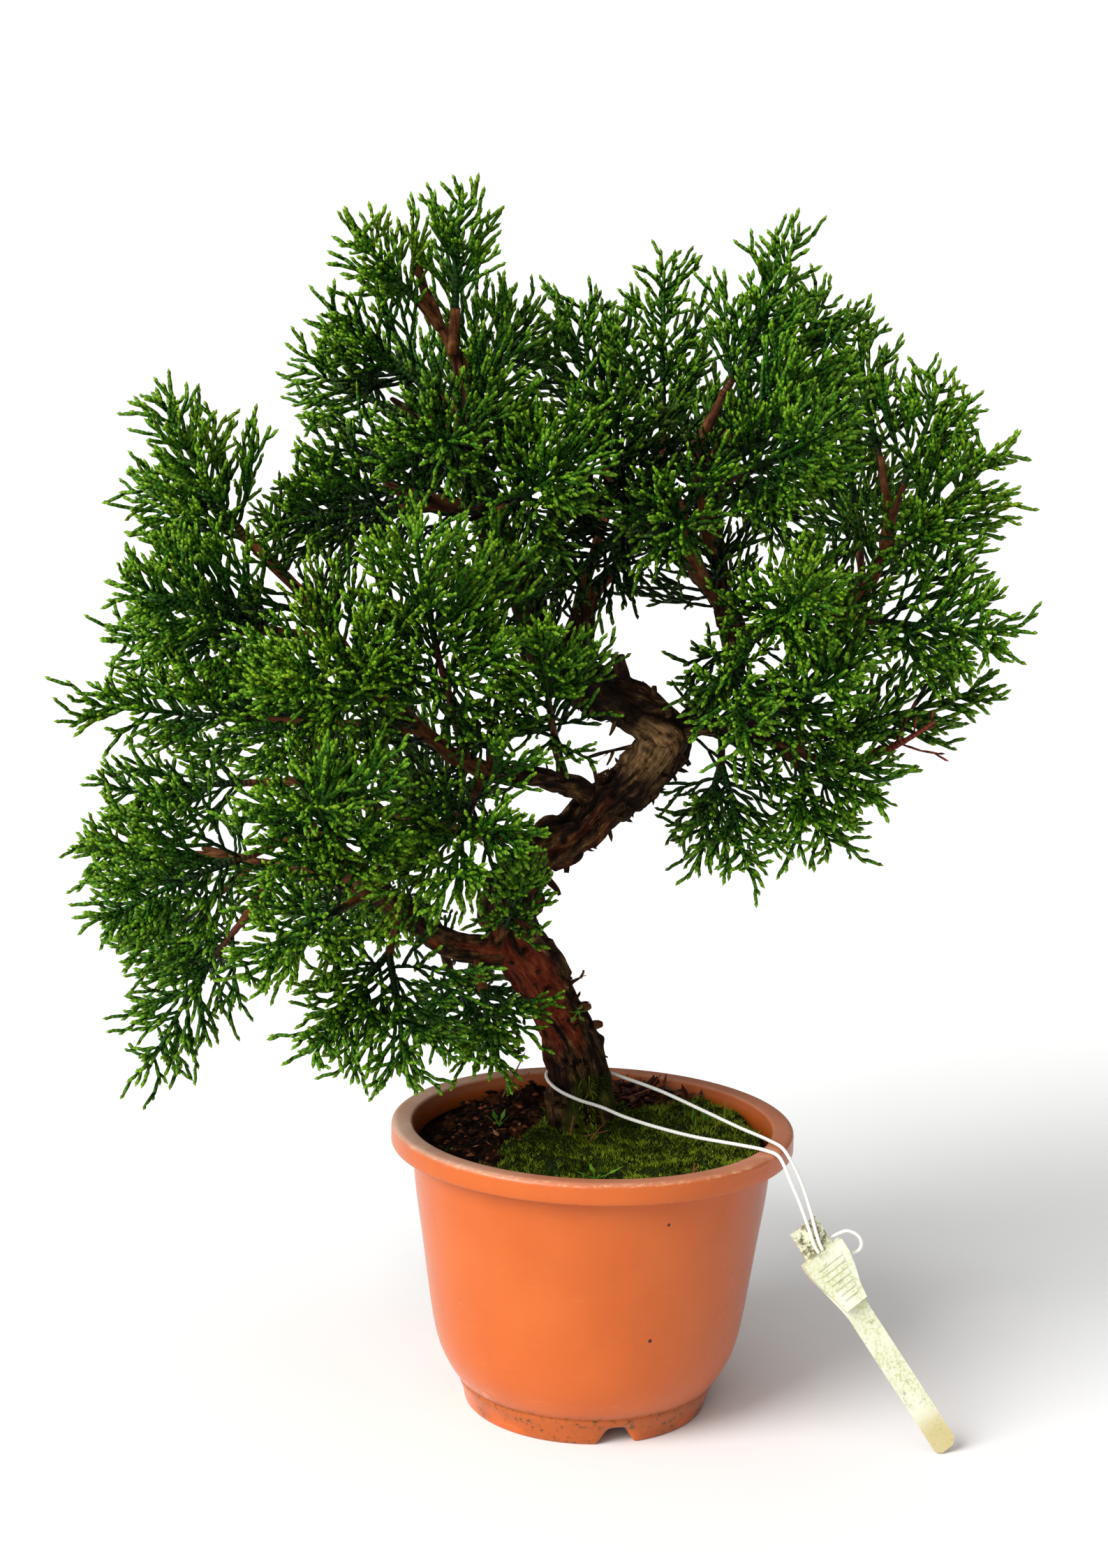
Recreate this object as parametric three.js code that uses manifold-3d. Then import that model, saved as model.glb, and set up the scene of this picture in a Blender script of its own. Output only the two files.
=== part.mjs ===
// A potted Chinese juniper bonsai: pot, soil, moss, bare wood, leafy sprays, and a label on its cord.
// Millimetres, +Z up. Places below are measured from the foot of the pot's axis.
import * as THREE from "three";
import { mergeVertices } from "three/addons/utils/BufferGeometryUtils.js";
import Module from "manifold-3d";

const wasm = await Module();
wasm.setup();

// Where the pot's axis stands, measured from the middle of the tree's and the pot's box
const POT_AXIS = [26, -3];

// Driving dimensions of the pot
const RIM_RADIUS = 75;
const POT_HEIGHT = 107.8;
const RIM_BAND = 8;
const WALL = 2;
const FLOOR_UNDER = 6.5;
const FLOOR_TOP = 8.7;
const FOOT_RADIUS = 45.5;
const FOOT_WALL = 3.6;
const POT_SIDES = 32;
const NOTCH_WIDTH = 14;
const NOTCH_HEIGHT = 6;
const NOTCH_COUNT = 3;
const FIRST_NOTCH_DEG = -74.7;
const DRAIN_COUNT = 3;
const DRAIN_RADIUS = 6;
const DRAIN_RING = 24;
// The outside of the pot's body from the foot's crease to the underside of the rim band: radius and height
const BELLY = [
  [47.8, 8.8], [51.2, 13.2], [54.8, 20.6], [58, 31], [60.8, 49], [67.2, POT_HEIGHT - RIM_BAND],
];

// Driving dimensions of the fill, and the gap that touching pieces keep
const GAP = 0.3;
const SOIL_LEVEL = 97;
const SOIL_RADIUS = 64.2;
const MOSS_RADIUS = 62.8;
const MOSS_DEEP = 5;
const TRUNK_FOOT = [-4, 16];
const TRUNK_HOLE = 13.6;
const TRUNK_BOTTOM = 82;

// Driving dimensions of the foliage
const SHOOT_RADIUS = 0.56;
const AXIS_ROOT_RADIUS = 1.5;
const AXIS_TIP_RADIUS = 0.6;
const TWIG_SHARE = 0.24;
const BRANCHLET_RADIUS = 0.68;
const BAND_HEIGHT = 1.3;
const STATION_STEP = 12.3;
const STATION_TURN = THREE.MathUtils.degToRad(47);
const SHOOT_REACH = 0.67;

// Driving dimensions of the cord and the label
const CORD_DIAMETER = 1.4;
const LABEL_MOUTH = [82.6, -40, 74];
const LABEL_DOWN = [0.564, -0.012, -0.828];
const LABEL_TURN_DEG = -20;
const CLASP_WIDTH = 17;
const CLASP_LENGTH = 22.5;
const CLASP_THICK = 4.6;
const TAIL_WIDTH = 9;
const TAIL_LENGTH = 65;
const STRAP_THICK = 1.2;
const PLATE_WIDTH = 11.5;
const PLATE_LENGTH = 11.5;

// The trunk's middle line from the soil to the cut top, each point with its radius
const TRUNK = [
  [-4, 16, 82, 11.6], [-4, 16, 98, 12.4], [-5, 14, 108, 10.6], [-6, 13, 121, 9.8], [-10, 9, 140, 8.8],
  [-19, 5, 156, 8.9], [-29, 2, 173, 9.1], [-33, 0, 186, 8.4], [-30, 0, 197, 8.2], [-23, 2, 208, 8],
  [-11, 6, 214, 7.8], [0, 10, 224.5, 8.4], [11.5, 14, 234.5, 9.4], [19.5, 17, 242.5, 9.8], [23, 18, 249, 9.4],
  [18, 16, 256, 8.8], [10, 14, 261, 8.4], [2, 11, 266, 8.2], [-7, 8, 271, 7.2], [-17, 6, 276, 6.6],
  [-24, 5, 282, 6.4], [-27, 5, 291, 6.2], [-31, 6, 304, 6], [-37, 8, 315, 5.6], [-45, 10, 334, 5],
  [-51, 10, 351, 4.2], [-53, 10, 368, 3.6], [-54, 10, 390, 3.1],
];

// The limbs: a middle line each, with the radius at its start and at its end
const LIMBS = {
  leader: { radii: [2.4, 1.4], line: [[-52, 9, 372], [-59, 2, 391], [-65, 0, 403], [-71, -2, 419]] },
  left_mid: {
    radii: [3.8, 1.6],
    line: [[3, 11, 221], [-6, 6, 231], [-25, -6, 238], [-41, -14, 240], [-70, -26, 261], [-92, -30, 284],
      [-106, -30, 303], [-123, -28, 319]],
  },
  strand: {
    radii: [2.4, 1.5],
    line: [[-12, 7, 216], [-35, 24, 210], [-62, 36, 212], [-90, 48, 216], [-119, 58, 225]],
  },
  low_left: {
    radii: [5.6, 2],
    line: [[-31, 1, 171], [-54, -8, 175], [-69, -18, 188], [-81, -26, 200], [-90, -34, 212],
      [-104, -40, 224]],
  },
  low_left_side: {
    radii: [2.4, 1.5],
    line: [[-80, -25, 199], [-100, -20, 201], [-124, -10, 204], [-146, 0, 207]],
  },
  right: {
    radii: [4.4, 1.9],
    line: [[24, 18, 252], [38, 18, 262], [47, 16, 275], [47, 14, 292], [42, 14, 305], [39, 14, 320],
      [33, 12, 343], [30, 10, 360]],
  },
  far_right: {
    radii: [2.8, 1.5],
    line: [[47, 14, 290], [67, 8, 294], [84, 4, 301], [92, 2, 308], [99, 2, 324], [100, 4, 340]],
  },
  low_right: {
    radii: [3, 1.4],
    line: [[26, 17, 252], [46, 5, 257], [65, -8, 253], [81, -14, 247], [95, -16, 248]],
  },
  back: { radii: [3, 1.5], line: [[-17, 6, 276], [-12, 22, 291], [-6, 36, 317], [0, 46, 342]] },
  back_right: { radii: [3, 1.5], line: [[-7, 8, 271], [-6, 30, 300], [8, 44, 317], [21, 52, 336]] },
  inner: { radii: [2.2, 1.3], line: [[47, 14, 287], [37, 2, 305], [30, -6, 318], [24, -14, 339]] },
  top_left: { radii: [2.6, 1.5], line: [[-45, 10, 333], [-61, -6, 336], [-80, -16, 342]] },
  top_back: { radii: [2.4, 1.5], line: [[-51, 10, 356], [-67, 20, 364], [-82, 26, 372]] },
};

// Cut stubs left on the trunk: from, to, radius
const STUBS = [
  [[8, 10, 262], [4.5, 9, 281.5], 2.3],
  [[-22, 2, 158], [-9, -4, 163], 1.6],
  [[-14, 6, 146], [-2, 3, 151], 1.5],
  [[-30, 1, 178], [-40, -6, 181], 1.8],
];

// The sprays: the limb and the share of its length where the twig starts, then each plume's tip and its width
const SPRAYS = {
  apex: ["leader", 0.35, [[-56, -8, 441, 40]]],
  crown_fan: ["leader", 0.55, [[-89, -20, 428, 38]]],
  crown_left: ["trunk", 0.93, [[-97, 10, 401, 50]]],
  crown_right: ["trunk", 0.9, [[-39, 40, 405, 56]]],
  upper_left: ["top_back", 0.4, [[-113, 22, 382, 46]]],
  left_high: ["top_left", 0.4, [[-117, -30, 328, 54]]],
  left_wing: ["left_mid", 0.93, [[-153, -45, 369, 44], [-166, -15, 338, 46]]],
  left_mid: ["left_mid", 0.76, [[-164, -50, 308, 54], [-178, 15, 281, 54]]],
  left_far: ["left_mid", 0.5, [[-180, -35, 263, 56]]],
  left_reach: ["strand", 0.97, [[-189, 40, 221, 46]]],
  low_left: ["low_left_side", 0.85, [[-186, -8, 204, 50]]],
  low_left_front: ["low_left", 0.97, [[-169, -70, 194, 54]]],
  low_left_back: ["low_left_side", 0.7, [[-175, 45, 151, 56]]],
  hang_left: ["low_left_side", 0.55, [[-164, -12, 126, 50]]],
  hang_front: ["low_left", 0.5, [[-97, -66, 147, 46], [-64, -72, 144, 54]]],
  hang_inner: ["low_left", 0.14, [[-36, -40, 140, 42]]],
  hang_back: ["low_left", 0.3, [[-46, 50, 122, 54]]],
  heart_front: ["left_mid", 0.38, [[-62, -105, 328, 70]]],
  heart_left: ["left_mid", 0.58, [[-97, -102, 283, 64]]],
  heart_right: ["left_mid", 0.15, [[-22, -88, 301, 42]]],
  heart_low: ["left_mid", 0.34, [[-49, -95, 216, 64]]],
  inner_tip: ["left_mid", 0.32, [[-39, -62, 271, 34]]],
  neck_tuft: ["low_left", 0.06, [[-26, -58, 212, 32]]],
  low_front: ["low_left", 0.8, [[-92, -115, 248, 64]]],
  low_heart: ["low_left", 0.62, [[-109, -95, 192, 58]]],
  collar_front: ["trunk", 0.84, [[-19, -72, 348, 60]]],
  crown_front: ["trunk", 0.91, [[-56, -80, 359, 58]]],
  mid_back: ["back", 0.97, [[-14, 85, 410, 58]]],
  mid_tall: ["back_right", 0.97, [[17, 40, 423, 42]]],
  mid_front: ["back_right", 0.85, [[-1, -35, 376, 54], [-16, -15, 307, 48]]],
  right_tall: ["right", 0.97, [[62, 0, 431, 40]]],
  right_crown: ["right", 0.9, [[76, 35, 410, 56]]],
  right_top: ["far_right", 0.97, [[89, 35, 401, 44]]],
  right_high: ["far_right", 0.9, [[116, 5, 382, 42]]],
  right_reach: ["far_right", 0.76, [[135, -12, 359, 44], [105, -40, 331, 42]]],
  right_wing: ["far_right", 0.4, [[132, -50, 299, 56]]],
  right_wing_low: ["low_right", 0.6, [[139, 2, 275, 36]]],
  right_heart: ["far_right", 0.14, [[63, -92, 315, 52]]],
  right_inner: ["inner", 0.25, [[47, -84, 262, 42]]],
  right_low: ["low_right", 0.38, [[80, -72, 287, 54]]],
  right_skirt: ["low_right", 0.55, [[82, -20, 216, 42], [96, -46, 242, 42]]],
  right_hang: ["low_right", 0.25, [[52, -25, 210, 46], [37, 12, 211, 38]]],
  right_front: ["right", 0.84, [[66, -78, 364, 62]]],
  right_face: ["inner", 0.95, [[24, -60, 332, 48]]],
  back_crown: ["trunk", 0.87, [[-61, 110, 391, 60], [-110, 60, 324, 56]]],
  back_spread: ["right", 0.75, [[54, 115, 361, 64]]],
  back_far_right: ["far_right", 0.6, [[94, 95, 358, 60]]],
  back_heart: ["strand", 0.35, [[-79, 110, 222, 60]]],
  back_left: ["strand", 0.72, [[-143, 115, 258, 60]]],
  back_low: ["strand", 0.55, [[-113, 115, 150, 58]]],
};
const DEAD_TWIG = ["low_right", 0.97, [[116, -26, 265, 28]]];

// The cord's route: out of the clasp, over the rim, round the trunk and back over the rim into the clasp
const CORD_ROUTE = [
  [82.3, -42.4, 74.3], [80.7, -42.6, 77], [78.5, -42.5, 82.8], [75.8, -42, 89.9], [73.5, -41.2, 95.2],
  [71.1, -40, 100.2], [69.2, -38.6, 104.5], [66.8, -36.4, 107.9], [62.4, -33.6, 108.9], [53, -28, 108.9],
  [38, -20.2, 108.8], [24, -13.3, 109.9], [11.5, -6, 111.4], [3, 0, 113], [-6, 1, 115.4],
  [-13.6, 4.4, 118], [-17.6, 11.6, 119.9], [-17.2, 19.6, 120.9], [-11.6, 25.4, 121.3], [-4, 26, 121.2],
  [4, 22, 120.6], [12, 17.6, 119.4], [25, 10.4, 117], [41, -1.6, 113.4], [54, -11.6, 110.4],
  [64.6, -22.1, 109], [69, -29.8, 108.5], [71.6, -33.2, 105.4], [74, -35.4, 101.2], [76.2, -37.2, 96.4],
  [78.8, -40, 89.2], [81, -41.7, 82], [82.4, -42.2, 78], [83.7, -41.8, 75.2],
];
const LOOSE_LOOP = [
  [82.5, -38.4, 76.1], [85.1, -37.4, 77.4], [87.6, -36.4, 78.6], [90.3, -35.6, 79.7], [92.7, -34.9, 80.3],
  [95.4, -34.5, 79.5], [97.5, -34.3, 77.8], [98.3, -34.4, 75.5], [97.6, -34.9, 73.5], [95.5, -35.5, 72.4],
  [92.9, -36.1, 72.6], [90.2, -36.6, 73.5], [87.7, -37.1, 74.5],
];

const MATERIALS = {
  pot: new THREE.MeshStandardMaterial({ color: 0xd0713f, roughness: 0.42, metalness: 0 }),
  soil: new THREE.MeshStandardMaterial({ color: 0x2e2018, roughness: 0.95, metalness: 0 }),
  moss: new THREE.MeshStandardMaterial({ color: 0x4c6b1e, roughness: 0.9, metalness: 0 }),
  wood: new THREE.MeshStandardMaterial({ color: 0x4a3226, roughness: 0.85, metalness: 0 }),
  foliage: new THREE.MeshStandardMaterial({ color: 0x3f7a23, roughness: 0.6, metalness: 0 }),
  dead: new THREE.MeshStandardMaterial({ color: 0x8a4c2c, roughness: 0.85, metalness: 0 }),
  cord: new THREE.MeshStandardMaterial({ color: 0xe9e7da, roughness: 0.8, metalness: 0 }),
  label: new THREE.MeshStandardMaterial({ color: 0xe6e4cc, roughness: 0.5, metalness: 0 }),
};

// A repeatable draw from 0 to 1 for a spray, a branchlet and a purpose
function draw(spray, branchlet, purpose) {
  const wave = Math.sin(spray * 127.1 + branchlet * 311.7 + purpose * 74.7) * 43758.5453;
  return wave - Math.floor(wave);
}

function vector([x, y, z]) {
  return new THREE.Vector3(x, y, z);
}

function centreOf(points) {
  return points.reduce((sum, point) => sum.add(point), new THREE.Vector3()).divideScalar(points.length);
}

function smooth(points) {
  return new THREE.CatmullRomCurve3(points.map(vector), false, "centripetal");
}

// A closed geometry as a solid that can be joined and cut
function solid(geometry) {
  const bare = geometry.index ? geometry.toNonIndexed() : geometry.clone();
  bare.deleteAttribute("normal");
  bare.deleteAttribute("uv");
  const merged = mergeVertices(bare, 1e-3);
  const corners = Array.from(merged.index.array);
  const whole = [];
  for (let i = 0; i < corners.length; i += 3) {
    const [a, b, c] = corners.slice(i, i + 3);
    if (a !== b && b !== c && c !== a) {
      whole.push(a, b, c);
    }
  }
  return new wasm.Manifold(new wasm.Mesh({
    numProp: 3,
    vertProperties: new Float32Array(merged.getAttribute("position").array),
    triVerts: new Uint32Array(whole),
  }));
}

function joined(solids) {
  return solids.reduce((sum, next) => sum.add(next));
}

// The largest body of a solid, as a geometry; loose scraps are dropped
function geometryOf(body, coarseness = 0.04) {
  const bodies = body.simplify(coarseness).decompose();
  const largest = bodies.reduce((best, next) => (next.volume() > best.volume() ? next : best));
  const mesh = largest.getMesh();
  const geometry = new THREE.BufferGeometry();
  geometry.setAttribute("position", new THREE.BufferAttribute(new Float32Array(mesh.vertProperties), 3));
  geometry.setIndex(new THREE.BufferAttribute(new Uint32Array(mesh.triVerts), 1));
  geometry.computeVertexNormals();
  return geometry;
}

function named(name, geometry, material) {
  const mesh = new THREE.Mesh(geometry, material);
  mesh.name = name;
  return mesh;
}

// A rod from one radius to another, bent along a curve
function rod(curve, startRadius, endRadius, sides, steps, radiusAt = () => 1) {
  const geometry = new THREE.CylinderGeometry(endRadius, startRadius, 1, sides, steps);
  const frames = curve.computeFrenetFrames(steps, false);
  const place = geometry.getAttribute("position");
  for (let i = 0; i < place.count; i += 1) {
    const step = Math.round((place.getY(i) + 0.5) * steps);
    const share = step / steps;
    const swell = radiusAt(share);
    const point = curve.getPointAt(share);
    point.addScaledVector(frames.normals[step], place.getX(i) * swell);
    point.addScaledVector(frames.binormals[step], -place.getZ(i) * swell);
    place.setXYZ(i, point.x, point.y, point.z);
  }
  return solid(geometry);
}

// What is already standing, so that pieces of other nodes keep clear of it
const standing = [];
const LINE_A = new THREE.Line3();
const LINE_B = new THREE.Line3();

function stand(node, piece, from, to, radius) {
  standing.push({ node, piece, from: from.clone(), to: to.clone(), radius });
}

function standAlong(node, piece, curve, steps, radiusAt) {
  const points = curve.getSpacedPoints(steps);
  for (let i = 0; i < steps; i += 1) {
    stand(node, piece, points[i], points[i + 1], Math.max(radiusAt(i / steps), radiusAt((i + 1) / steps)));
  }
}

// True where a rod is clear of all that stands and that the test asks about
function isClear(from, to, radius, asksAbout) {
  LINE_A.set(from, to);
  return standing.filter(asksAbout).every((other) => {
    const reach = radius + other.radius + GAP;
    LINE_B.set(other.from, other.to);
    return LINE_A.distanceSqToLine3(LINE_B) > reach * reach;
  });
}

// The inside of the pot's wall from the rim down to the floor, drawn in by a gap for what fills it
function wallInside(gap) {
  return [...BELLY].reverse().map(([r, z]) => [r - WALL - gap, Math.max(z, FLOOR_TOP + gap)]);
}

// The pot, turned from its outline: foot ring, round belly, straight wall and rim band
function makePot() {
  const under = POT_HEIGHT - RIM_BAND;
  const outline = [
    [0, FLOOR_UNDER], [FOOT_RADIUS - FOOT_WALL, FLOOR_UNDER], [FOOT_RADIUS - FOOT_WALL, 0], [FOOT_RADIUS, 0],
    ...BELLY,
    [RIM_RADIUS, under], [RIM_RADIUS, POT_HEIGHT - 1.4], [RIM_RADIUS - 1.6, POT_HEIGHT],
    [66.8, POT_HEIGHT],
    ...wallInside(0), [0, FLOOR_TOP],
  ];
  let body = solid(new THREE.LatheGeometry(outline.map(([r, z]) => new THREE.Vector2(r, z)), POT_SIDES)
    .rotateX(Math.PI / 2));
  for (let i = 0; i < NOTCH_COUNT; i += 1) {
    const shape = new THREE.Shape([[-0.5, -0.2], [0.5, -0.2], [0.33, 0.5], [0.24, 0.9], [0, 1],
      [-0.24, 0.9], [-0.33, 0.5]].map(([x, y]) => new THREE.Vector2(x * NOTCH_WIDTH, y * NOTCH_HEIGHT)));
    const cutter = new THREE.ExtrudeGeometry(shape, { depth: 16, bevelEnabled: false });
    cutter.rotateX(Math.PI / 2).rotateZ(Math.PI / 2).translate(FOOT_RADIUS - 8, 0, 0);
    cutter.rotateZ(THREE.MathUtils.degToRad(FIRST_NOTCH_DEG + i * 360 / NOTCH_COUNT));
    body = body.subtract(solid(cutter));
  }
  for (let i = 0; i < DRAIN_COUNT; i += 1) {
    const angle = THREE.MathUtils.degToRad(FIRST_NOTCH_DEG + i * 360 / DRAIN_COUNT);
    const hole = new THREE.CylinderGeometry(DRAIN_RADIUS, DRAIN_RADIUS, 10, 10).rotateX(Math.PI / 2);
    hole.translate(DRAIN_RING * Math.cos(angle), DRAIN_RING * Math.sin(angle), FLOOR_TOP);
    body = body.subtract(solid(hole));
  }
  return named("pot", geometryOf(body), MATERIALS.pot);
}

// The level of the bare soil, a little higher at the trunk and rough all over
function soilTop(x, y) {
  const fromTrunk = Math.hypot(x - TRUNK_FOOT[0], y - TRUNK_FOOT[1]);
  const rough = Math.sin(x * 0.31 + 1) * Math.cos(y * 0.27) + 0.6 * Math.sin(x * 0.13 - y * 0.19);
  return SOIL_LEVEL + 2.4 * Math.exp(-fromTrunk / 22) + 0.7 * rough;
}

// How deep the moss is: cushions that thin out to its edge
function mossDepth(x, y) {
  const cushions = Math.sin(x * 0.16 + 0.6) * Math.sin(y * 0.2 - 0.4);
  return MOSS_DEEP + 1.6 * cushions + Math.max(0, x) * 0.012;
}

// A round fill whose top follows a height rule
function fill(bottomLine, edge, top) {
  const outline = [...bottomLine, ...[edge, 49, 33, 17, 0].map((r) => [r, SOIL_LEVEL])];
  const geometry = new THREE.LatheGeometry(outline.map(([r, z]) => new THREE.Vector2(r, z)), POT_SIDES)
    .rotateX(Math.PI / 2);
  const place = geometry.getAttribute("position");
  for (let i = 0; i < place.count; i += 1) {
    if (place.getZ(i) >= SOIL_LEVEL - 0.01) {
      place.setZ(i, top(place.getX(i), place.getY(i)));
    }
  }
  return solid(geometry);
}

function trunkHole() {
  const hole = new THREE.CylinderGeometry(TRUNK_HOLE, TRUNK_HOLE, 60, 16).rotateX(Math.PI / 2);
  return solid(hole.translate(TRUNK_FOOT[0], TRUNK_FOOT[1], TRUNK_BOTTOM - GAP + 30));
}

function soilSolid() {
  const wall = wallInside(GAP * 1.5).reverse().filter((_, i) => i % 2 === 0);
  return fill([[0, FLOOR_TOP + GAP], ...wall], SOIL_RADIUS, soilTop);
}

function makeSoil() {
  return named("soil", geometryOf(soilSolid().subtract(trunkHole())), MATERIALS.soil);
}

// Moss covers the right and the front of the soil, up to a wavy edge
function makeMoss() {
  const edge = [[-12, 44], [2, 38], [14, 46], [30, 56], [56, 60], [80, 40], [90, 0], [70, -60], [10, -80],
    [-30, -70], [-50, -50], [-42, -34], [-34, -22], [-38, -8], [-28, 4], [-24, 18], [-22, 32]];
  const outline = new THREE.Shape(edge.map(([x, y]) => new THREE.Vector2(x, y)));
  const patch = solid(new THREE.ExtrudeGeometry(outline, { depth: 40, bevelEnabled: false })
    .translate(0, 0, SOIL_LEVEL - 15));
  const under = SOIL_LEVEL - 9;
  const top = (x, y) => soilTop(x, y) + mossDepth(x, y);
  const carpet = fill([[0, under], [MOSS_RADIUS, under]], MOSS_RADIUS, top);
  const body = carpet.intersect(patch).subtract(soilSolid().translate(0, 0, GAP)).subtract(trunkHole());
  return named("moss", geometryOf(body, 0.15), MATERIALS.moss);
}

const CURVES = { trunk: smooth(TRUNK.map(([x, y, z]) => [x, y, z])) };
Object.entries(LIMBS).forEach(([name, limb]) => {
  CURVES[name] = smooth(limb.line);
});

// The trunk's radius at a share of its length, between the points it is given at
function trunkRadius(share) {
  const along = CURVES.trunk.getUtoTmapping(share) * (TRUNK.length - 1);
  const low = Math.min(Math.floor(along), TRUNK.length - 2);
  return THREE.MathUtils.lerp(TRUNK[low][3], TRUNK[low + 1][3], along - low);
}

function limbRadius(name, share) {
  return name === "trunk" ? trunkRadius(share) : THREE.MathUtils.lerp(...LIMBS[name].radii, share);
}

// Where a spray's twig leaves its limb and where its green part starts
function rootOf([limb, share, tips]) {
  const from = CURVES[limb].getPointAt(share);
  const middle = centreOf(tips.map(vector));
  const root = from.clone().lerp(middle, TWIG_SHARE);
  root.addScaledVector(from.clone().sub(root).normalize(), -limbRadius(limb, share));
  return { from, root, heading: middle.sub(from).normalize() };
}

// The bare wood: trunk, limbs, stubs and the twigs that carry the sprays, grown as one piece
function makeWood(sprays) {
  const trunkSteps = 27;
  const pieces = [rod(CURVES.trunk, 1, 1, 8, trunkSteps, trunkRadius)];
  standAlong("wood", "trunk", CURVES.trunk, trunkSteps, trunkRadius);
  Object.entries(LIMBS).forEach(([name, { radii, line }]) => {
    const steps = line.length - 1;
    pieces.push(rod(CURVES[name], radii[0], radii[1], 5, steps));
    standAlong("wood", name, CURVES[name], steps, (share) => THREE.MathUtils.lerp(...radii, share));
  });
  STUBS.forEach(([from, to, radius]) => {
    pieces.push(rod(new THREE.LineCurve3(vector(from), vector(to)), radius, radius * 0.8, 5, 1));
    stand("wood", "stub", vector(from), vector(to), radius);
  });
  sprays.forEach(([name, spray]) => {
    const { from, root, heading } = rootOf(spray);
    const end = root.clone().addScaledVector(heading, -GAP);
    pieces.push(rod(new THREE.LineCurve3(from, end), AXIS_ROOT_RADIUS * 1.1, AXIS_ROOT_RADIUS, 3, 1));
    stand("wood", `twig of ${name}`, from, end, AXIS_ROOT_RADIUS * 1.1);
  });
  return named("wood", geometryOf(joined(pieces), 0.35), MATERIALS.wood);
}

// A plume's middle line: it rises to its tip, or hangs down to it, in a bow
function plumeAxis(root, tip) {
  const target = vector(tip);
  const middle = root.clone().lerp(target, 0.5);
  middle.z -= 0.14 * (target.z - root.z);
  return new THREE.QuadraticBezierCurve3(root, middle, target);
}

// One closed body that grows ring by ring: a stem, with shoots drawn out of the side faces of its short bands
class Growth {
  constructor() {
    this.places = [];
    this.corners = [];
  }

  point(place) {
    this.places.push(place.x, place.y, place.z);
    return this.places.length / 3 - 1;
  }

  at(index) {
    return new THREE.Vector3().fromArray(this.places, index * 3);
  }

  // The ends of a ring stay open: a cap or a tip closes them
  cap(ring) {
    for (let i = 1; i < ring.length - 1; i += 1) {
      this.corners.push(ring[0], ring[i + 1], ring[i]);
    }
  }

  tip(ring, place) {
    const top = this.point(place);
    ring.forEach((corner, i) => this.corners.push(corner, ring[(i + 1) % ring.length], top));
  }

  // Joins two rings; a side that takes() draws a shoot out of stays open, as that shoot's first ring
  join(low, high, takes = () => false) {
    low.forEach((corner, i) => {
      const next = (i + 1) % low.length;
      const side = [corner, low[next], high[next], high[i]];
      if (!takes(side, i)) {
        this.corners.push(side[0], side[1], side[2], side[0], side[2], side[3]);
      }
    });
  }

  // The next ring of a four-sided shoot, turned as the ring before it
  square(ring, centre, ahead, radius) {
    const first = this.at(ring[0]).sub(this.at(ring[2])).projectOnPlane(ahead).normalize();
    const second = this.at(ring[1]).sub(this.at(ring[3])).projectOnPlane(ahead);
    second.projectOnPlane(first).normalize();
    return [first, second, first.clone().negate(), second.clone().negate()]
      .map((out) => this.point(centre.clone().addScaledVector(out, radius)));
  }

  middle(ring) {
    return centreOf(ring.map((corner) => this.at(corner)));
  }

  geometry() {
    const geometry = new THREE.BufferGeometry();
    geometry.setAttribute("position", new THREE.Float32BufferAttribute(this.places, 3));
    geometry.setIndex(this.corners);
    geometry.computeVertexNormals();
    return geometry;
  }
}

// Where the plume's side shoots leave its axis: a share of its length and a turn about it, for each band
function stationsOf(axis) {
  const count = Math.round(axis.getLength() / STATION_STEP);
  return Array.from({ length: count }, (_, k) => ({
    share: (k + 0.55) / (count + 0.25),
    turn: k * STATION_TURN,
  }));
}

// The end of a side shoot: it leaves the axis at a wide angle and turns towards the plume's tip
function shootLine(start, out, ahead, length) {
  const bend = start.clone().addScaledVector(out, length * 0.46).addScaledVector(ahead, length * 0.26);
  const end = start.clone().addScaledVector(out, length * 0.7).addScaledVector(ahead, length * 0.7);
  return new THREE.QuadraticBezierCurve3(start, bend, end);
}

function keepsOffThePot(point) {
  return point.z > POT_HEIGHT + 8 || Math.hypot(point.x, point.y) > RIM_RADIUS + 6;
}

// True where a shoot is clear of every other node, and its outer part of the rest of its own
function hasRoom(curve, node, parent) {
  const points = [0, 0.3, 0.65, 1].map((share) => curve.getPointAt(share));
  const elsewhere = (other) => other.node !== node && other.piece !== `twig of ${node}`;
  const beside = (other) => other.node === node && other.piece !== parent;
  return points.every(keepsOffThePot)
    && [0, 1, 2].every((i) => isClear(points[i], points[i + 1], BRANCHLET_RADIUS, elsewhere))
    && [1, 2].every((i) => isClear(points[i], points[i + 1], SHOOT_RADIUS, beside));
}

// A leafy branchlet out of an open side: a stem, a band with a shoot at its left and right, and a tip
function growBranchlet(body, side, curve, node, piece) {
  const bandAt = 0.46;
  const half = BAND_HEIGHT / 2 / curve.getLength();
  const ahead = curve.getTangentAt(bandAt);
  const low = body.square(side, curve.getPointAt(bandAt - half), ahead, BRANCHLET_RADIUS);
  const high = body.square(low, curve.getPointAt(bandAt + half), ahead, BRANCHLET_RADIUS);
  standAlong(node, piece, curve, 2, () => BRANCHLET_RADIUS);
  body.join(side, low);
  body.join(low, high, (face, i) => {
    const start = body.middle(face);
    const out = start.clone().sub(curve.getPointAt(bandAt)).normalize();
    const line = shootLine(start, out, ahead, curve.getLength() * 0.42);
    if (i % 2 === 1 || !hasRoom(line, node, piece)) {
      return false;
    }
    stand(node, `${piece} ${i}`, line.v0, line.v2, SHOOT_RADIUS);
    body.tip(face, line.v2);
    return true;
  });
  body.tip(high, curve.v2);
}

function axisRadius(share) {
  return THREE.MathUtils.lerp(AXIS_ROOT_RADIUS, AXIS_TIP_RADIUS, share);
}

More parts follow.
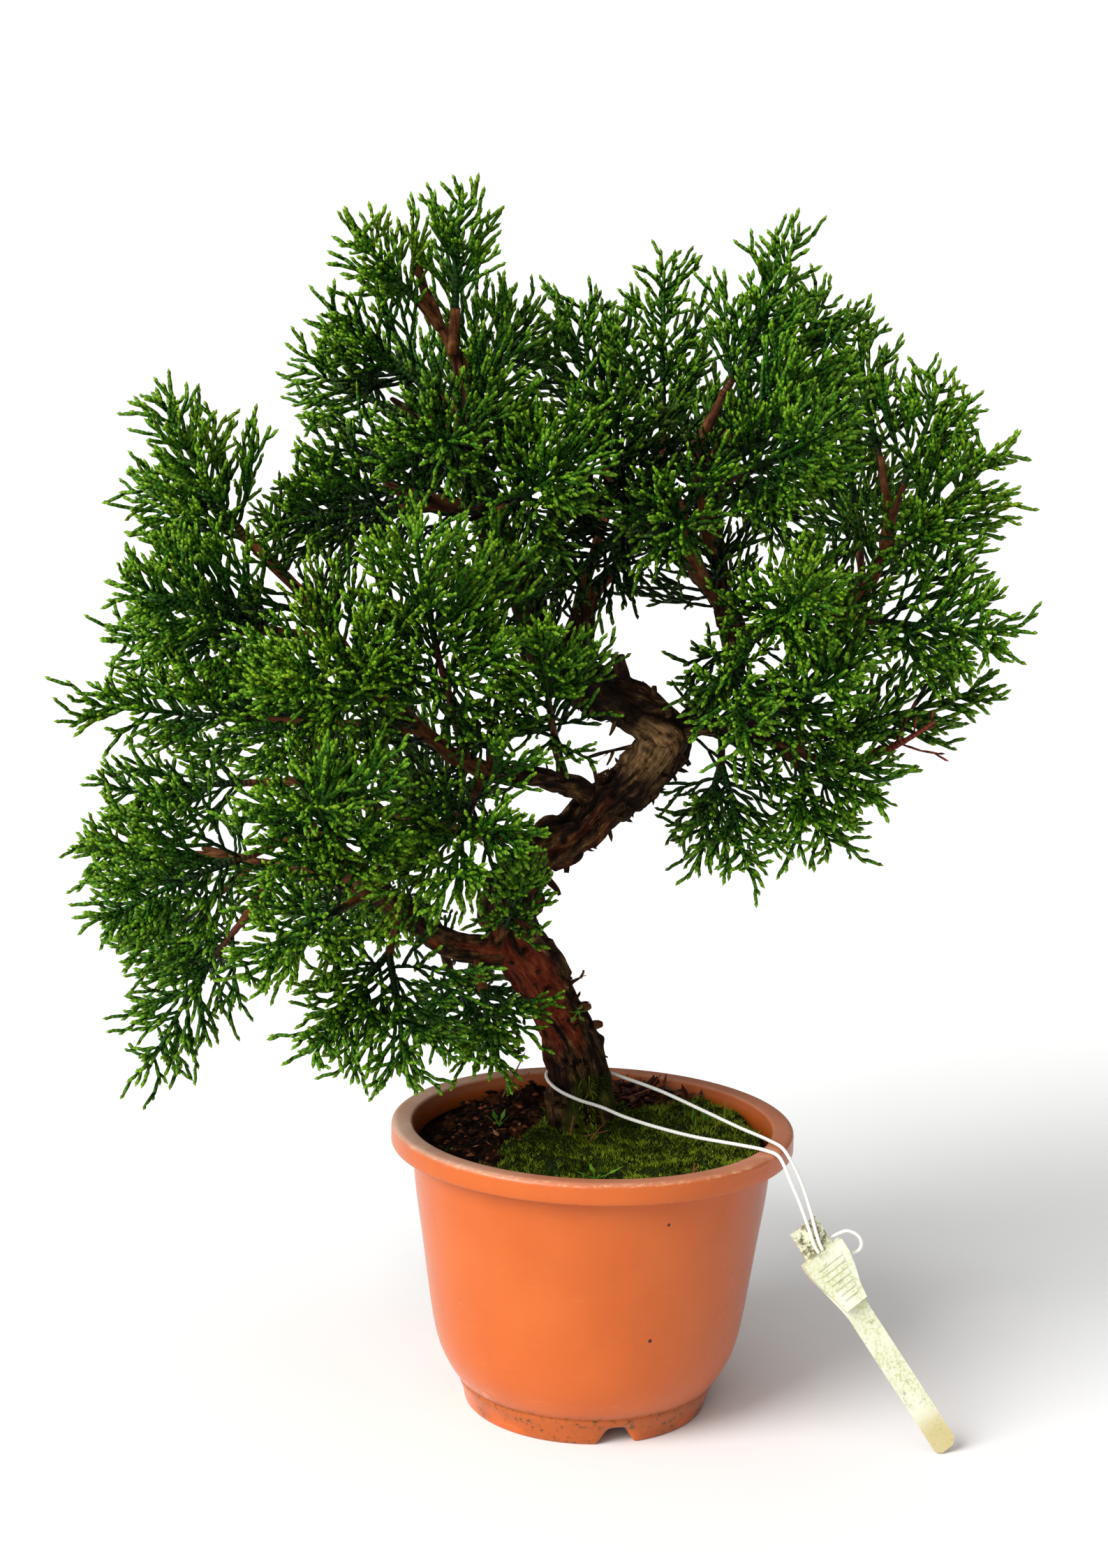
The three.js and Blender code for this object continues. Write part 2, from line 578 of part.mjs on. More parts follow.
// A plume: its axis from root to tip, with a branchlet and two shoots at each band where there is room
function growPlume(body, plume, name, number) {
  const { axis, width, heading, piece } = plume;
  const ringAt = (share, turn) => {
    const ahead = share > 0 ? axis.getTangentAt(share) : heading;
    const side = new THREE.Vector3(0, 0, 1).cross(ahead).normalize();
    const over = ahead.clone().cross(side);
    return [0, 1, 2].map((i) => {
      const angle = turn + i * Math.PI * 2 / 3;
      const out = side.clone().multiplyScalar(Math.cos(angle)).addScaledVector(over, Math.sin(angle));
      return body.point(axis.getPointAt(share).addScaledVector(out, axisRadius(share)));
    });
  };
  const half = BAND_HEIGHT / 2 / axis.getLength();
  let ring = ringAt(0, 0);
  body.cap(ring);
  stationsOf(axis).forEach(({ share, turn }, k) => {
    const low = ringAt(share - half, turn);
    const high = ringAt(share + half, turn);
    body.join(ring, low);
    body.join(low, high, (face, i) => {
      const start = body.middle(face);
      const out = start.clone().sub(axis.getPointAt(share)).normalize();
      const full = width * SHOOT_REACH * (1.25 - 0.95 * share) * (0.8 + 0.4 * draw(number, k, i));
      const isBranchlet = i === k % 3;
      const line = shootLine(start, out, axis.getTangentAt(share), full * (isBranchlet ? 1 : 0.6));
      if (!hasRoom(line, name, piece)) {
        return false;
      }
      if (isBranchlet) {
        growBranchlet(body, face, line, name, `${piece} ${k} ${i}`);
      } else {
        standAlong(name, `${piece} ${k} ${i}`, line, 1, () => SHOOT_RADIUS);
        body.tip(face, line.v2);
      }
      return true;
    });
    ring = high;
  });
  body.tip(ring, axis.v2);
}

// Every spray is one or two plumes from the same twig; all axes stand before the first shoot is drawn out
function makeSprays(sprays) {
  const plans = sprays.map(([name, spray]) => {
    const { root, heading } = rootOf(spray);
    const plumes = spray[2].map(([x, y, z, width], i) => (
      { axis: plumeAxis(root, [x, y, z]), width, heading, piece: `axis ${i}` }
    ));
    plumes.forEach(({ axis, piece }) => {
      standAlong(name, piece, axis, 5, axisRadius);
    });
    return { name, plumes };
  });
  return plans.map(({ name, plumes }, number) => {
    const bodies = plumes.map((plume, i) => {
      const body = new Growth();
      growPlume(body, plume, name, number + i * 0.5);
      return body.geometry();
    });
    const geometry = bodies.length === 1 ? bodies[0] : geometryOf(joined(bodies.map(solid)));
    return named(name, geometry, name === "dead_twig" ? MATERIALS.dead : MATERIALS.foliage);
  });
}

// The round cord: an eight-sided section drawn along its route
function makeCord(name, route, steps) {
  const section = new THREE.Shape();
  section.absarc(0, 0, CORD_DIAMETER / 2, 0, Math.PI * 2);
  const tube = { steps, extrudePath: smooth(route), curveSegments: 4 };
  return named(name, geometryOf(solid(new THREE.ExtrudeGeometry(section, tube))), MATERIALS.cord);
}

function plate(points, low, high) {
  const shape = new THREE.Shape(points.map(([x, y]) => new THREE.Vector2(x, y)));
  const slab = new THREE.ExtrudeGeometry(shape, { depth: high - low, bevelEnabled: false });
  return solid(slab.translate(0, 0, low));
}

function mirrored(points) {
  return [...points, ...[...points].reverse().map(([x, y]) => [-x, y])];
}

// The label: one moulding of a strap and a ribbed clasp; x runs across it, y down the tail, z out of its face
function makeLabel() {
  const end = CLASP_LENGTH + TAIL_LENGTH;
  const half = TAIL_WIDTH / 2;
  const neck = [[CLASP_WIDTH / 2 - 0.6, 0], [CLASP_WIDTH / 2 - 0.8, 8], [CLASP_WIDTH / 2 - 2, 15],
    [half + 0.6, 22], [half, 27]];
  const strap = plate(mirrored([...neck, [half, end - 2], [half - 2, end]]), 0, STRAP_THICK);
  const back = plate(mirrored([[PLATE_WIDTH / 2, -PLATE_LENGTH], [PLATE_WIDTH / 2, 1]]), 0, STRAP_THICK);
  const clasp = plate(mirrored([[CLASP_WIDTH / 2, 0], [CLASP_WIDTH / 2, 5], [CLASP_WIDTH / 2 - 1.2, 11],
    [CLASP_WIDTH / 2 - 3, 17], [half + 0.2, CLASP_LENGTH]]), 0.2, CLASP_THICK);
  const ribs = [3, 5.4, 7.8, 10.2, 12.6, 15, 17.4].map((y) => {
    const wide = 6 - 0.16 * y;
    return plate(mirrored([[wide, y], [wide, y + 1.2]]), CLASP_THICK - 0.3, CLASP_THICK + 0.4);
  });
  const teeth = [-9, -6, -3].flatMap((y) => [-4.2, 4.2].map((x) => {
    const outline = [[x - 0.8, y], [x + 0.8, y], [x + 0.8, y + 1.6], [x - 0.8, y + 1.6]];
    return plate(outline, STRAP_THICK - 0.3, STRAP_THICK + 0.7);
  }));
  const geometry = geometryOf(joined([strap, back, clasp, ...ribs, ...teeth]));
  const down = vector(LABEL_DOWN).normalize();
  const face = new THREE.Vector3(0, -1, 0).addScaledVector(down, down.y).normalize();
  face.applyAxisAngle(down, THREE.MathUtils.degToRad(LABEL_TURN_DEG));
  const across = down.clone().cross(face);
  geometry.applyMatrix4(new THREE.Matrix4().makeBasis(across, down, face).setPosition(...LABEL_MOUTH));
  return named("label", geometry, MATERIALS.label);
}

const sprayList = Object.entries(SPRAYS).map(([name, spray]) => [`spray_${name}`, spray]);
sprayList.push(["dead_twig", DEAD_TWIG]);

const tree = new THREE.Group();
tree.add(makePot(), makeSoil(), makeMoss(), makeWood(sprayList), ...makeSprays(sprayList));
tree.add(makeCord("cord", CORD_ROUTE, 52), makeCord("cord_loop", LOOSE_LOOP, 18), makeLabel());
tree.position.set(...POT_AXIS, 0);

export default tree;
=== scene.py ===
"""A potted Chinese juniper bonsai: fine meshes, materials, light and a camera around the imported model.

Places and sizes are in millimetres from the foot of the pot's axis. They become metres only in world().
"""
import math

import bpy
import numpy as np
from mathutils import Matrix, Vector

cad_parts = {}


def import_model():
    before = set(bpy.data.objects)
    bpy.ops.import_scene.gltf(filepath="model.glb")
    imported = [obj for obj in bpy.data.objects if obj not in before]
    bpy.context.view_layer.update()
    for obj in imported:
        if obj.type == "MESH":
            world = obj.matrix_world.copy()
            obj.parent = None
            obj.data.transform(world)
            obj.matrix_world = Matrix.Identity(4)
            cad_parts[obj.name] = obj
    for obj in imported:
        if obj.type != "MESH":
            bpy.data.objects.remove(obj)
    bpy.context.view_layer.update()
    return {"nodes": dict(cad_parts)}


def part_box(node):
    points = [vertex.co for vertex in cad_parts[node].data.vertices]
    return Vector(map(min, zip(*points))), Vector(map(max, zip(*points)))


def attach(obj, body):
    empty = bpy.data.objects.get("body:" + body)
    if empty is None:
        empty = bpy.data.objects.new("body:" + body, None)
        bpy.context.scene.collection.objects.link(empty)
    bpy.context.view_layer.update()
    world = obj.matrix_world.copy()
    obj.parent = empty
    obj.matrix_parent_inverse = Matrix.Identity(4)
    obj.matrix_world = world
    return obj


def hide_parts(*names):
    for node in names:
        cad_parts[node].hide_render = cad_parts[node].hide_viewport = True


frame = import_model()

POT_LOW, POT_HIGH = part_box("pot")
AXIS_FOOT = np.array([(POT_LOW.x + POT_HIGH.x) / 2, (POT_LOW.y + POT_HIGH.y) / 2, 0.0])
UP = np.array([0.0, 0.0, 1.0])


def world(places):
    """Millimetres from the foot of the pot's axis, as metres in the row's frame."""
    return np.asarray(places, float) / 1000 + AXIS_FOOT


# The camera stands where the photograph was taken from
CAMERA_PLACE = (0.0, -866.9, 372.0)
CAMERA_YAW = -0.02044
CAMERA_DOWN = 0.15727
CAMERA_ROLL = 0.02645
FOCAL_PX = 3439.2
IMAGE_HEIGHT_PX = 2245
SENSOR = 36.0

# The pot
RIM_RADIUS = 75.0
POT_HEIGHT = 107.8
RIM_BAND = 8.0
WALL = 2.0
FLOOR_UNDER = 6.8
FLOOR_TOP = 8.7
INNER_ROWS = 14
FOOT_RADIUS = 45.5
FOOT_WALL = 3.6
NOTCH_WIDTH = 14.0
NOTCH_HEIGHT = 6.6
NOTCH_DEGREES = [-74.7, 45.3, 165.3]
DRAIN_RADIUS = 6.0
DRAIN_RING = 24.0
DRAIN_CUT = 12.0
CREASE_HEIGHT = 9.9
# Dark specks on the pot: place and radius
SPECKS = [
    ((22.7, -55.6, 44.4), 0.95), ((27.8, -60.2, 89.1), 0.8), ((31, -62, 95.5), 0.4), ((46, -55, 104), 0.5),
]
# The pot's outline in parts, as radius and height; the rim's heights count from its band's lower edge
FOOT_LINE = [
    (45.9, 1.8), (46.2, 3.2), (46.6, 4.7), (47.1, 6.2), (47.7, 7.9), (48.3, 9.3), (48, 9.8), (48.1, 10.2),
]
BELLY_LINE = [
    (48.7, 10.6), (50.8, 13.4), (53.2, 17.4), (55.5, 22.2), (57.4, 28.6), (58.9, 36.5), (60.6, 48), (63, 65),
    (65.4, 81), (67.2, 97.4),
]
RIM_LINE = [
    (67.5, -1), (68, -0.3), (69, 0), (73.8, 0), (74.7, 0.3), (75, 1), (75, 3), (75, 6.1), (74.95, 6.7),
    (74.7, 7.2), (74.2, 7.6), (73.5, 7.9), (72.8, 8), (70.6, 7.9), (68.4, 7.8), (67.8, 7.7), (67.3, 7.3),
    (67, 6.7), (66.7, 5.2), (66.1, 3),
]
INNER_LINE = [(67.2, 99.8), (60.8, 49), (58, 31), (54.8, 20.6), (51.2, 13.2), (47.8, 8.8)]
# A notch's arch: share of its width from the middle, share of its height
NOTCH_ARCH = [
    (0, 1), (0.1, 0.98), (0.2, 0.9), (0.3, 0.72), (0.38, 0.45), (0.45, 0.2), (0.5, 0.07), (0.56, 0),
]

# The fill
SOIL_LEVEL = 97.0
SOIL_RADIUS = 64.0
MOSS_RADIUS = 62.8
MOSS_DEEP = 5.0
MOSS_SUNK = 2.5
HEAP_BEHIND = 7.0
HEAP_LEFT = 6.0
CLOD_HEIGHT = 4.5
CLOD_PLACE = (-25, 43)
GRAIN_SEED = 5
TRUNK_FOOT = (-4.0, 16.0)
# How many tiny things lie or stand on the fill
TUFT_COUNT = 30000
CLIMBING_COUNT = 1500
GRAIN_COUNT = 3000
BROKEN_BARK_COUNT = 420
LEFT_BARK_COUNT = 60
STALK_COUNT = 90
# A grain's corners: six round its middle, one above and one below
GRAIN_CORNERS = [
    (1, 0, 0), (0.5, 0.86, 0.1), (-0.5, 0.86, -0.1), (-1, 0, 0.1), (-0.5, -0.86, 0), (0.5, -0.86, -0.1),
    (0.1, 0.1, 0.8), (0, 0, -0.8),
]
MOSS_EDGE = [
    (-12, 44), (2, 38), (14, 46), (30, 56), (56, 60), (80, 40), (90, 0), (70, -60), (10, -80), (-30, -70),
    (-50, -50), (-42, -34), (-34, -22), (-38, -8), (-28, 4), (-24, 18), (-22, 32),
]

# The bark: dark knots as place and size, broken teeth and dead twigs as start, end and radius at the start
SCRAP_COUNT = 260
# A scrap's faces, over four corners at its foot, four at its middle and a tip
SCRAP_FACES = [
    [0, 1, 5], [0, 5, 4], [1, 2, 6], [1, 6, 5], [2, 3, 7], [2, 7, 6], [3, 0, 4], [3, 4, 7],
    [4, 5, 8], [5, 6, 8], [6, 7, 8], [7, 4, 8], [0, 3, 2], [0, 2, 1],
]
KNOTS = [
    (-37.4, -7, 178.2, 2.6), (-27.2, -7, 174, 2.4), (-18.5, -4, 159.1, 2.2), (-10.5, 2, 130.1, 3),
    (-2, -6, 149, 1.8), (16, 6, 246, 3.2), (4, 2, 230, 2.6), (6, 6, 264, 2.8), (-14, -2, 214, 2.4),
]
TEETH = [
    ((-14, 5, 209), (-12.5, 3, 201), 2.3), ((-20, 3, 199), (-14.5, 1, 193), 1.5),
    ((-22, 3, 175), (-17.4, 2, 173.5), 1.3), ((-16, 5, 166), (-11.4, 4, 165), 1.2),
    ((-2, 10, 141), (2.6, 9, 142.4), 1.4), ((1, 12, 129), (5, 11, 129), 1.1),
    ((-20, 8, 140), (-24, 7, 140.5), 1.1), ((-16, 8, 132), (-20, 7, 133), 1.2),
    ((-8, 8, 218), (-4.4, 5, 213), 1.2), ((2, 12, 226), (6.4, 9, 221.5), 1.1),
    ((16, 14, 240), (21, 10, 233), 1.3), ((-4, 8, 263), (-6.5, 5, 257.5), 1.4),
    ((17, 14, 262), (17.9, 12, 270), 0.9), ((4, 8, 258), (2, 4, 252.5), 1.1),
    ((26, 16, 246), (32, 13, 241), 1.2), ((12, 12, 258), (12, 6, 266), 1.6),
    ((20, 14, 256), (24, 8, 262), 1.7), ((-8, 8, 268), (-11, 2, 263), 1.8),
    ((10, 14, 238), (5, 6, 241), 1.5), ((22, 16, 240), (27, 10, 235.5), 1.5),
]
DEAD_TWIGS = [
    ((-19.8, 7, 233), (-22.1, 6, 244), 0.75), ((-1.3, 10, 232), (-4.8, 10, 242), 0.8),
    ((-2, 10, 236), (1.6, 9, 238.7), 0.6), ((11, 15, 247), (-5.4, 12, 243.1), 0.8),
    ((2, 13, 245), (-3, 12, 240.6), 0.55), ((3.5, 13, 245.2), (1.4, 12, 240.2), 0.5),
    ((-9.5, 6, 159), (-4, 5, 162), 0.9), ((-6, 5, 161), (-5, 4, 164), 0.5),
]
# The bark's marks that its material reads, and how fast its fibres wind round the stem
BARK_MARKS = ("live", "moss", "groove", "worn", "twig")
WINDING = 0.012
# The trunk's elbow, where the bark is pale from wear and from a painted pool of light
WORN_AND_LIT_PLACE = (15, 6, 247)
WORN_AND_LIT_REACH = 12.0

# Seedlings: the foot, how green, then the tips of the leaves that rise from it
SEEDLINGS = [
    ((2.1, -52.7, 102.4), 0.9, [
        (-6, -57.6, 106.9), (-0.6, -57, 109.7), (5.4, -58, 109.3), (11.4, -53.4, 107.7)]),
    ((-35.9, 19, 98.5), 0.74, [(-41, 16, 104), (-31.4, 17, 103.6), (-38, 14, 106.5), (-33.4, 21, 105)]),
    ((-53.9, -9.9, 97.5), 0.9, [(-56.4, -14, 101), (-50.6, -13, 99.6)]),
    ((-7, -3, 149.7), 0.62, [
        (-2.2, -6, 151.6), (-5, -7, 153.6), (-10.4, -7, 151), (-9, -8, 147), (-4, -7.4, 147.4)]),
]
# Dry straws: from, to, radius
STRAWS = [
    ((-36, 42, 102), (-27, 32, 124), 0.5), ((-35, 43, 102), (-25, 33, 116), 0.42),
    ((-10, -8, 102), (6, 0, 104), 0.6), ((-2, -12, 101.4), (4, 2, 106), 0.5),
    ((-16, -2, 101), (-4, -10, 103), 0.5), ((-8, -9.6, 101), (-7, -8.6, 112), 0.5),
    ((36.3, -44.3, 102), (36.6, -44.6, 107), 0.5), ((36, -44, 103), (38, -45, 106), 0.4),
    ((8, 50, 100), (30, 47, 110), 0.6), ((20, 52, 101), (26, 46, 113), 0.5),
]

# The foliage
SHOOT_RADIUS = 0.72
AXIS_ROOT_RADIUS = 1.5
AXIS_TIP_RADIUS = 0.6
TWIG_SHARE = 0.24
STATION_STEP = 12.3
STATION_TURN = math.radians(47)
SHOOT_REACH = 0.67
RING_STEP = 3.0
PLUME_POINT = 3.5
LEAST_SHOOT = (5.2, 10)
SHOOT_SIDES = 3
BROWN_AFTER = 62.0
WHORL_STEP = 1.7
TONE_TOP = 0.96
# The crown's heart, where the shoots' tone is darkened as painted shade: its middle and how far it reaches
# each way
HEART_PLACE = (-25, 10, 285)
HEART_REACH = (160, 105, 140)
# Bare lengths of limb that carry short shoots of their own:
# from and to as shares of the limb's length, and how many
SHORT_SHOOTS = [
    ("left_mid", 0.26, 0.97, 46), ("far_right", 0.08, 0.97, 40), ("right", 0.5, 0.98, 38),
    ("low_right", 0.06, 0.95, 42), ("back_right", 0.35, 1, 28), ("top_left", 0.1, 0.95, 16),
    ("low_left", 0.35, 0.95, 20), ("inner", 0.25, 0.95, 14), ("trunk", 0.68, 0.97, 34),
    ("strand", 0.2, 0.95, 24), ("low_left_side", 0.1, 0.95, 16), ("back", 0.3, 1, 22),
]

# The cord and its loose end, point by point as the model lays them
CORD_DIAMETER = 1.4
CORD_ROUTE = [
    (82.3, -42.4, 74.3), (80.7, -42.6, 77), (78.5, -42.5, 82.8), (75.8, -42, 89.9), (73.5, -41.2, 95.2),
    (71.1, -40, 100.2), (69.2, -38.6, 104.5), (66.8, -36.4, 107.9), (62.4, -33.6, 108.9), (53, -28, 108.9),
    (38, -20.2, 108.8), (24, -13.3, 109.9), (11.5, -6, 111.4), (3, 0, 113), (-6, 1, 115.4),
    (-13.6, 4.4, 118), (-17.6, 11.6, 119.9), (-17.2, 19.6, 120.9), (-11.6, 25.4, 121.3), (-4, 26, 121.2),
    (4, 22, 120.6), (12, 17.6, 119.4), (25, 10.4, 117), (41, -1.6, 113.4), (54, -11.6, 110.4),
    (64.6, -22.1, 109), (69, -29.8, 108.5), (71.6, -33.2, 105.4), (74, -35.4, 101.2), (76.2, -37.2, 96.4),
    (78.8, -40, 89.2), (81, -41.7, 82), (82.4, -42.2, 78), (83.7, -41.8, 75.2),
]
LOOSE_LOOP = [
    (82.5, -38.4, 76.1), (85.1, -37.4, 77.4), (87.6, -36.4, 78.6), (90.3, -35.6, 79.7), (92.7, -34.9, 80.3),
    (95.4, -34.5, 79.5), (97.5, -34.3, 77.8), (98.3, -34.4, 75.5), (97.6, -34.9, 73.5), (95.5, -35.5, 72.4),
    (92.9, -36.1, 72.6), (90.2, -36.6, 73.5), (87.7, -37.1, 74.5),
]

# Places on the label: the end of its tail, and its plate behind the clasp's mouth
LABEL_END = (131.3, -42, 2)
LABEL_BACK = (79, -40, 79)

# The trunk's middle line from the soil to the cut top, each point with its radius
TRUNK = [
    (-4, 16, 82, 11.6), (-4, 16, 98, 12.4), (-5, 14, 108, 10.6), (-6, 13, 121, 9.8), (-10, 9, 140, 8.8),
    (-19, 5, 156, 8.9), (-29, 2, 173, 9.1), (-33, 0, 186, 8.4), (-30, 0, 197, 8.2), (-23, 2, 208, 8),
    (-11, 6, 214, 7.8), (0, 10, 224.5, 8.4), (11.5, 14, 234.5, 9.4), (19.5, 17, 242.5, 9.8),
    (23, 18, 249, 9.4), (18, 16, 256, 8.8), (10, 14, 261, 8.4), (2, 11, 266, 8.2), (-7, 8, 271, 7.2),
    (-17, 6, 276, 6.6),
    (-24, 5, 282, 6.4), (-27, 5, 291, 6.2), (-31, 6, 304, 6), (-37, 8, 315, 5.6), (-45, 10, 334, 5),
    (-51, 10, 351, 4.2), (-53, 10, 368, 3.6), (-54, 10, 390, 3.1),
]

# The limbs: radius at the start and at the end, then the middle line
LIMBS = {
    "leader": (2.4, 1.4, [(-52, 9, 372), (-59, 2, 391), (-65, 0, 403), (-71, -2, 419)]),
    "left_mid": (3.8, 1.6, [
        (3, 11, 221), (-6, 6, 231), (-25, -6, 238), (-41, -14, 240), (-70, -26, 261), (-92, -30, 284),
        (-106, -30, 303), (-123, -28, 319)]),
    "strand": (2.4, 1.5, [(-12, 7, 216), (-35, 24, 210), (-62, 36, 212), (-90, 48, 216), (-119, 58, 225)]),
    "low_left": (5.6, 2, [
        (-31, 1, 171), (-54, -8, 175), (-69, -18, 188), (-81, -26, 200), (-90, -34, 212), (-104, -40, 224)]),
    "low_left_side": (2.4, 1.5, [(-80, -25, 199), (-100, -20, 201), (-124, -10, 204), (-146, 0, 207)]),
    "right": (4.4, 1.9, [
        (24, 18, 252), (38, 18, 262), (47, 16, 275), (47, 14, 292), (42, 14, 305), (39, 14, 320),
        (33, 12, 343), (30, 10, 360)]),
    "far_right": (2.8, 1.5, [
        (47, 14, 290), (67, 8, 294), (84, 4, 301), (92, 2, 308), (99, 2, 324), (100, 4, 340)]),
    "low_right": (3, 1.4, [(26, 17, 252), (46, 5, 257), (65, -8, 253), (81, -14, 247), (95, -16, 248)]),
    "back": (3, 1.5, [(-17, 6, 276), (-12, 22, 291), (-6, 36, 317), (0, 46, 342)]),
    "back_right": (3, 1.5, [(-7, 8, 271), (-6, 30, 300), (8, 44, 317), (21, 52, 336)]),
    "inner": (2.2, 1.3, [(47, 14, 287), (37, 2, 305), (30, -6, 318), (24, -14, 339)]),
    "top_left": (2.6, 1.5, [(-45, 10, 333), (-61, -6, 336), (-80, -16, 342)]),
    "top_back": (2.4, 1.5, [(-51, 10, 356), (-67, 20, 364), (-82, 26, 372)]),
}

# Cut stubs left on the trunk: from, to, radius
STUBS = [
    ((8, 10, 262), (4.5, 9, 281.5), 2.3),
    ((-22, 2, 158), (-9, -4, 163), 1.6),
    ((-14, 6, 146), (-2, 3, 151), 1.5),
    ((-30, 1, 178), (-40, -6, 181), 1.8),
]

# The sprays: the limb and the share of its length where the twig starts, then each plume's tip and width
SPRAYS = {
    "spray_apex": ("leader", 0.35, [(-56, -8, 441, 40)]),
    "spray_crown_fan": ("leader", 0.55, [(-89, -20, 428, 38)]),
    "spray_crown_left": ("trunk", 0.93, [(-97, 10, 401, 50)]),
    "spray_crown_right": ("trunk", 0.9, [(-39, 40, 405, 56)]),
    "spray_upper_left": ("top_back", 0.4, [(-113, 22, 382, 46)]),
    "spray_left_high": ("top_left", 0.4, [(-117, -30, 328, 54)]),
    "spray_left_wing": ("left_mid", 0.93, [(-153, -45, 369, 44), (-166, -15, 338, 46)]),
    "spray_left_mid": ("left_mid", 0.76, [(-164, -50, 308, 54), (-178, 15, 281, 54)]),
    "spray_left_far": ("left_mid", 0.5, [(-180, -35, 263, 56)]),
    "spray_left_reach": ("strand", 0.97, [(-189, 40, 221, 46)]),
    "spray_low_left": ("low_left_side", 0.85, [(-186, -8, 204, 50)]),
    "spray_low_left_front": ("low_left", 0.97, [(-169, -70, 194, 54)]),
    "spray_low_left_back": ("low_left_side", 0.7, [(-175, 45, 151, 56)]),
    "spray_hang_left": ("low_left_side", 0.55, [(-164, -12, 126, 50)]),
    "spray_hang_front": ("low_left", 0.5, [(-97, -66, 147, 46), (-64, -72, 144, 54)]),
    "spray_hang_inner": ("low_left", 0.14, [(-36, -40, 140, 42)]),
    "spray_hang_back": ("low_left", 0.3, [(-46, 50, 122, 54)]),
    "spray_heart_front": ("left_mid", 0.38, [(-62, -105, 328, 70)]),
    "spray_heart_left": ("left_mid", 0.58, [(-97, -102, 283, 64)]),
    "spray_heart_right": ("left_mid", 0.15, [(-22, -88, 301, 42)]),
    "spray_heart_low": ("left_mid", 0.34, [(-49, -95, 216, 64)]),
    "spray_inner_tip": ("left_mid", 0.32, [(-39, -62, 271, 34)]),
    "spray_neck_tuft": ("low_left", 0.06, [(-26, -58, 212, 32)]),
    "spray_low_front": ("low_left", 0.8, [(-92, -115, 248, 64)]),
    "spray_low_heart": ("low_left", 0.62, [(-109, -95, 192, 58)]),
    "spray_collar_front": ("trunk", 0.84, [(-19, -72, 348, 60)]),
    "spray_crown_front": ("trunk", 0.91, [(-56, -80, 359, 58)]),
    "spray_mid_back": ("back", 0.97, [(-14, 85, 410, 58)]),
    "spray_mid_tall": ("back_right", 0.97, [(17, 40, 423, 42)]),
    "spray_mid_front": ("back_right", 0.85, [(-1, -35, 376, 54), (-16, -15, 307, 48)]),
    "spray_right_tall": ("right", 0.97, [(62, 0, 431, 40)]),
    "spray_right_crown": ("right", 0.9, [(76, 35, 410, 56)]),
    "spray_right_top": ("far_right", 0.97, [(89, 35, 401, 44)]),
    "spray_right_high": ("far_right", 0.9, [(116, 5, 382, 42)]),
    "spray_right_reach": ("far_right", 0.76, [(135, -12, 359, 44), (105, -40, 331, 42)]),
    "spray_right_wing": ("far_right", 0.4, [(132, -50, 299, 56)]),
    "spray_right_wing_low": ("low_right", 0.6, [(139, 2, 275, 36)]),
    "spray_right_heart": ("far_right", 0.14, [(63, -92, 315, 52)]),
    "spray_right_inner": ("inner", 0.25, [(47, -84, 262, 42)]),
    "spray_right_low": ("low_right", 0.38, [(80, -72, 287, 54)]),
    "spray_right_skirt": ("low_right", 0.55, [(82, -20, 216, 42), (96, -46, 242, 42)]),
    "spray_right_hang": ("low_right", 0.25, [(52, -25, 210, 46), (37, 12, 211, 38)]),
    "spray_right_front": ("right", 0.84, [(66, -78, 364, 62)]),
    "spray_right_face": ("inner", 0.95, [(24, -60, 332, 48)]),
    "spray_back_crown": ("trunk", 0.87, [(-61, 110, 391, 60), (-110, 60, 324, 56)]),
    "spray_back_spread": ("right", 0.75, [(54, 115, 361, 64)]),
    "spray_back_far_right": ("far_right", 0.6, [(94, 95, 358, 60)]),
    "spray_back_heart": ("strand", 0.35, [(-79, 110, 222, 60)]),
    "spray_back_left": ("strand", 0.72, [(-143, 115, 258, 60)]),
    "spray_back_low": ("strand", 0.55, [(-113, 115, 150, 58)]),
    "dead_twig": ("low_right", 0.97, [(116, -26, 265, 28)]),
}

# Colours, as 8-bit red, green and blue
# Dark green for low-toned shoots and for painted shade
DARK_AND_SHADE_GREEN = (4, 13, 1)
DARK_AND_SHADE_MOSS = (10, 15, 1)
YOUNG_LEAF = (140, 162, 20)
YOUNG_AND_LIT_MOSS = (168, 186, 48)
DRY_LEAF = (150, 84, 50)
CRACK_AND_SHADE_BROWN = (8, 4, 2)
KNOT_BROWN = (30, 18, 11)
SCRATCH_ORANGE = (228, 150, 100)
GRIME_AND_SHADE_BROWN = (94, 60, 26)
CHALK_AND_GLINT_PALE = (236, 186, 146)
INSIDE_SHADE_BROWN = (50, 20, 8)
SPECK_BROWN = (34, 14, 8)
LUMP_BROWN = (90, 60, 40)
CORD_SHADE_GREY, CORD_WHITE, CORD_SOILED = (228, 224, 210), (254, 253, 248), (232, 225, 202)
LABEL_STAINED, LABEL_ALGAE, LABEL_DIRT = (198, 180, 126), (176, 180, 104), (104, 92, 62)
FLOOR_PALE = (248, 248, 247)

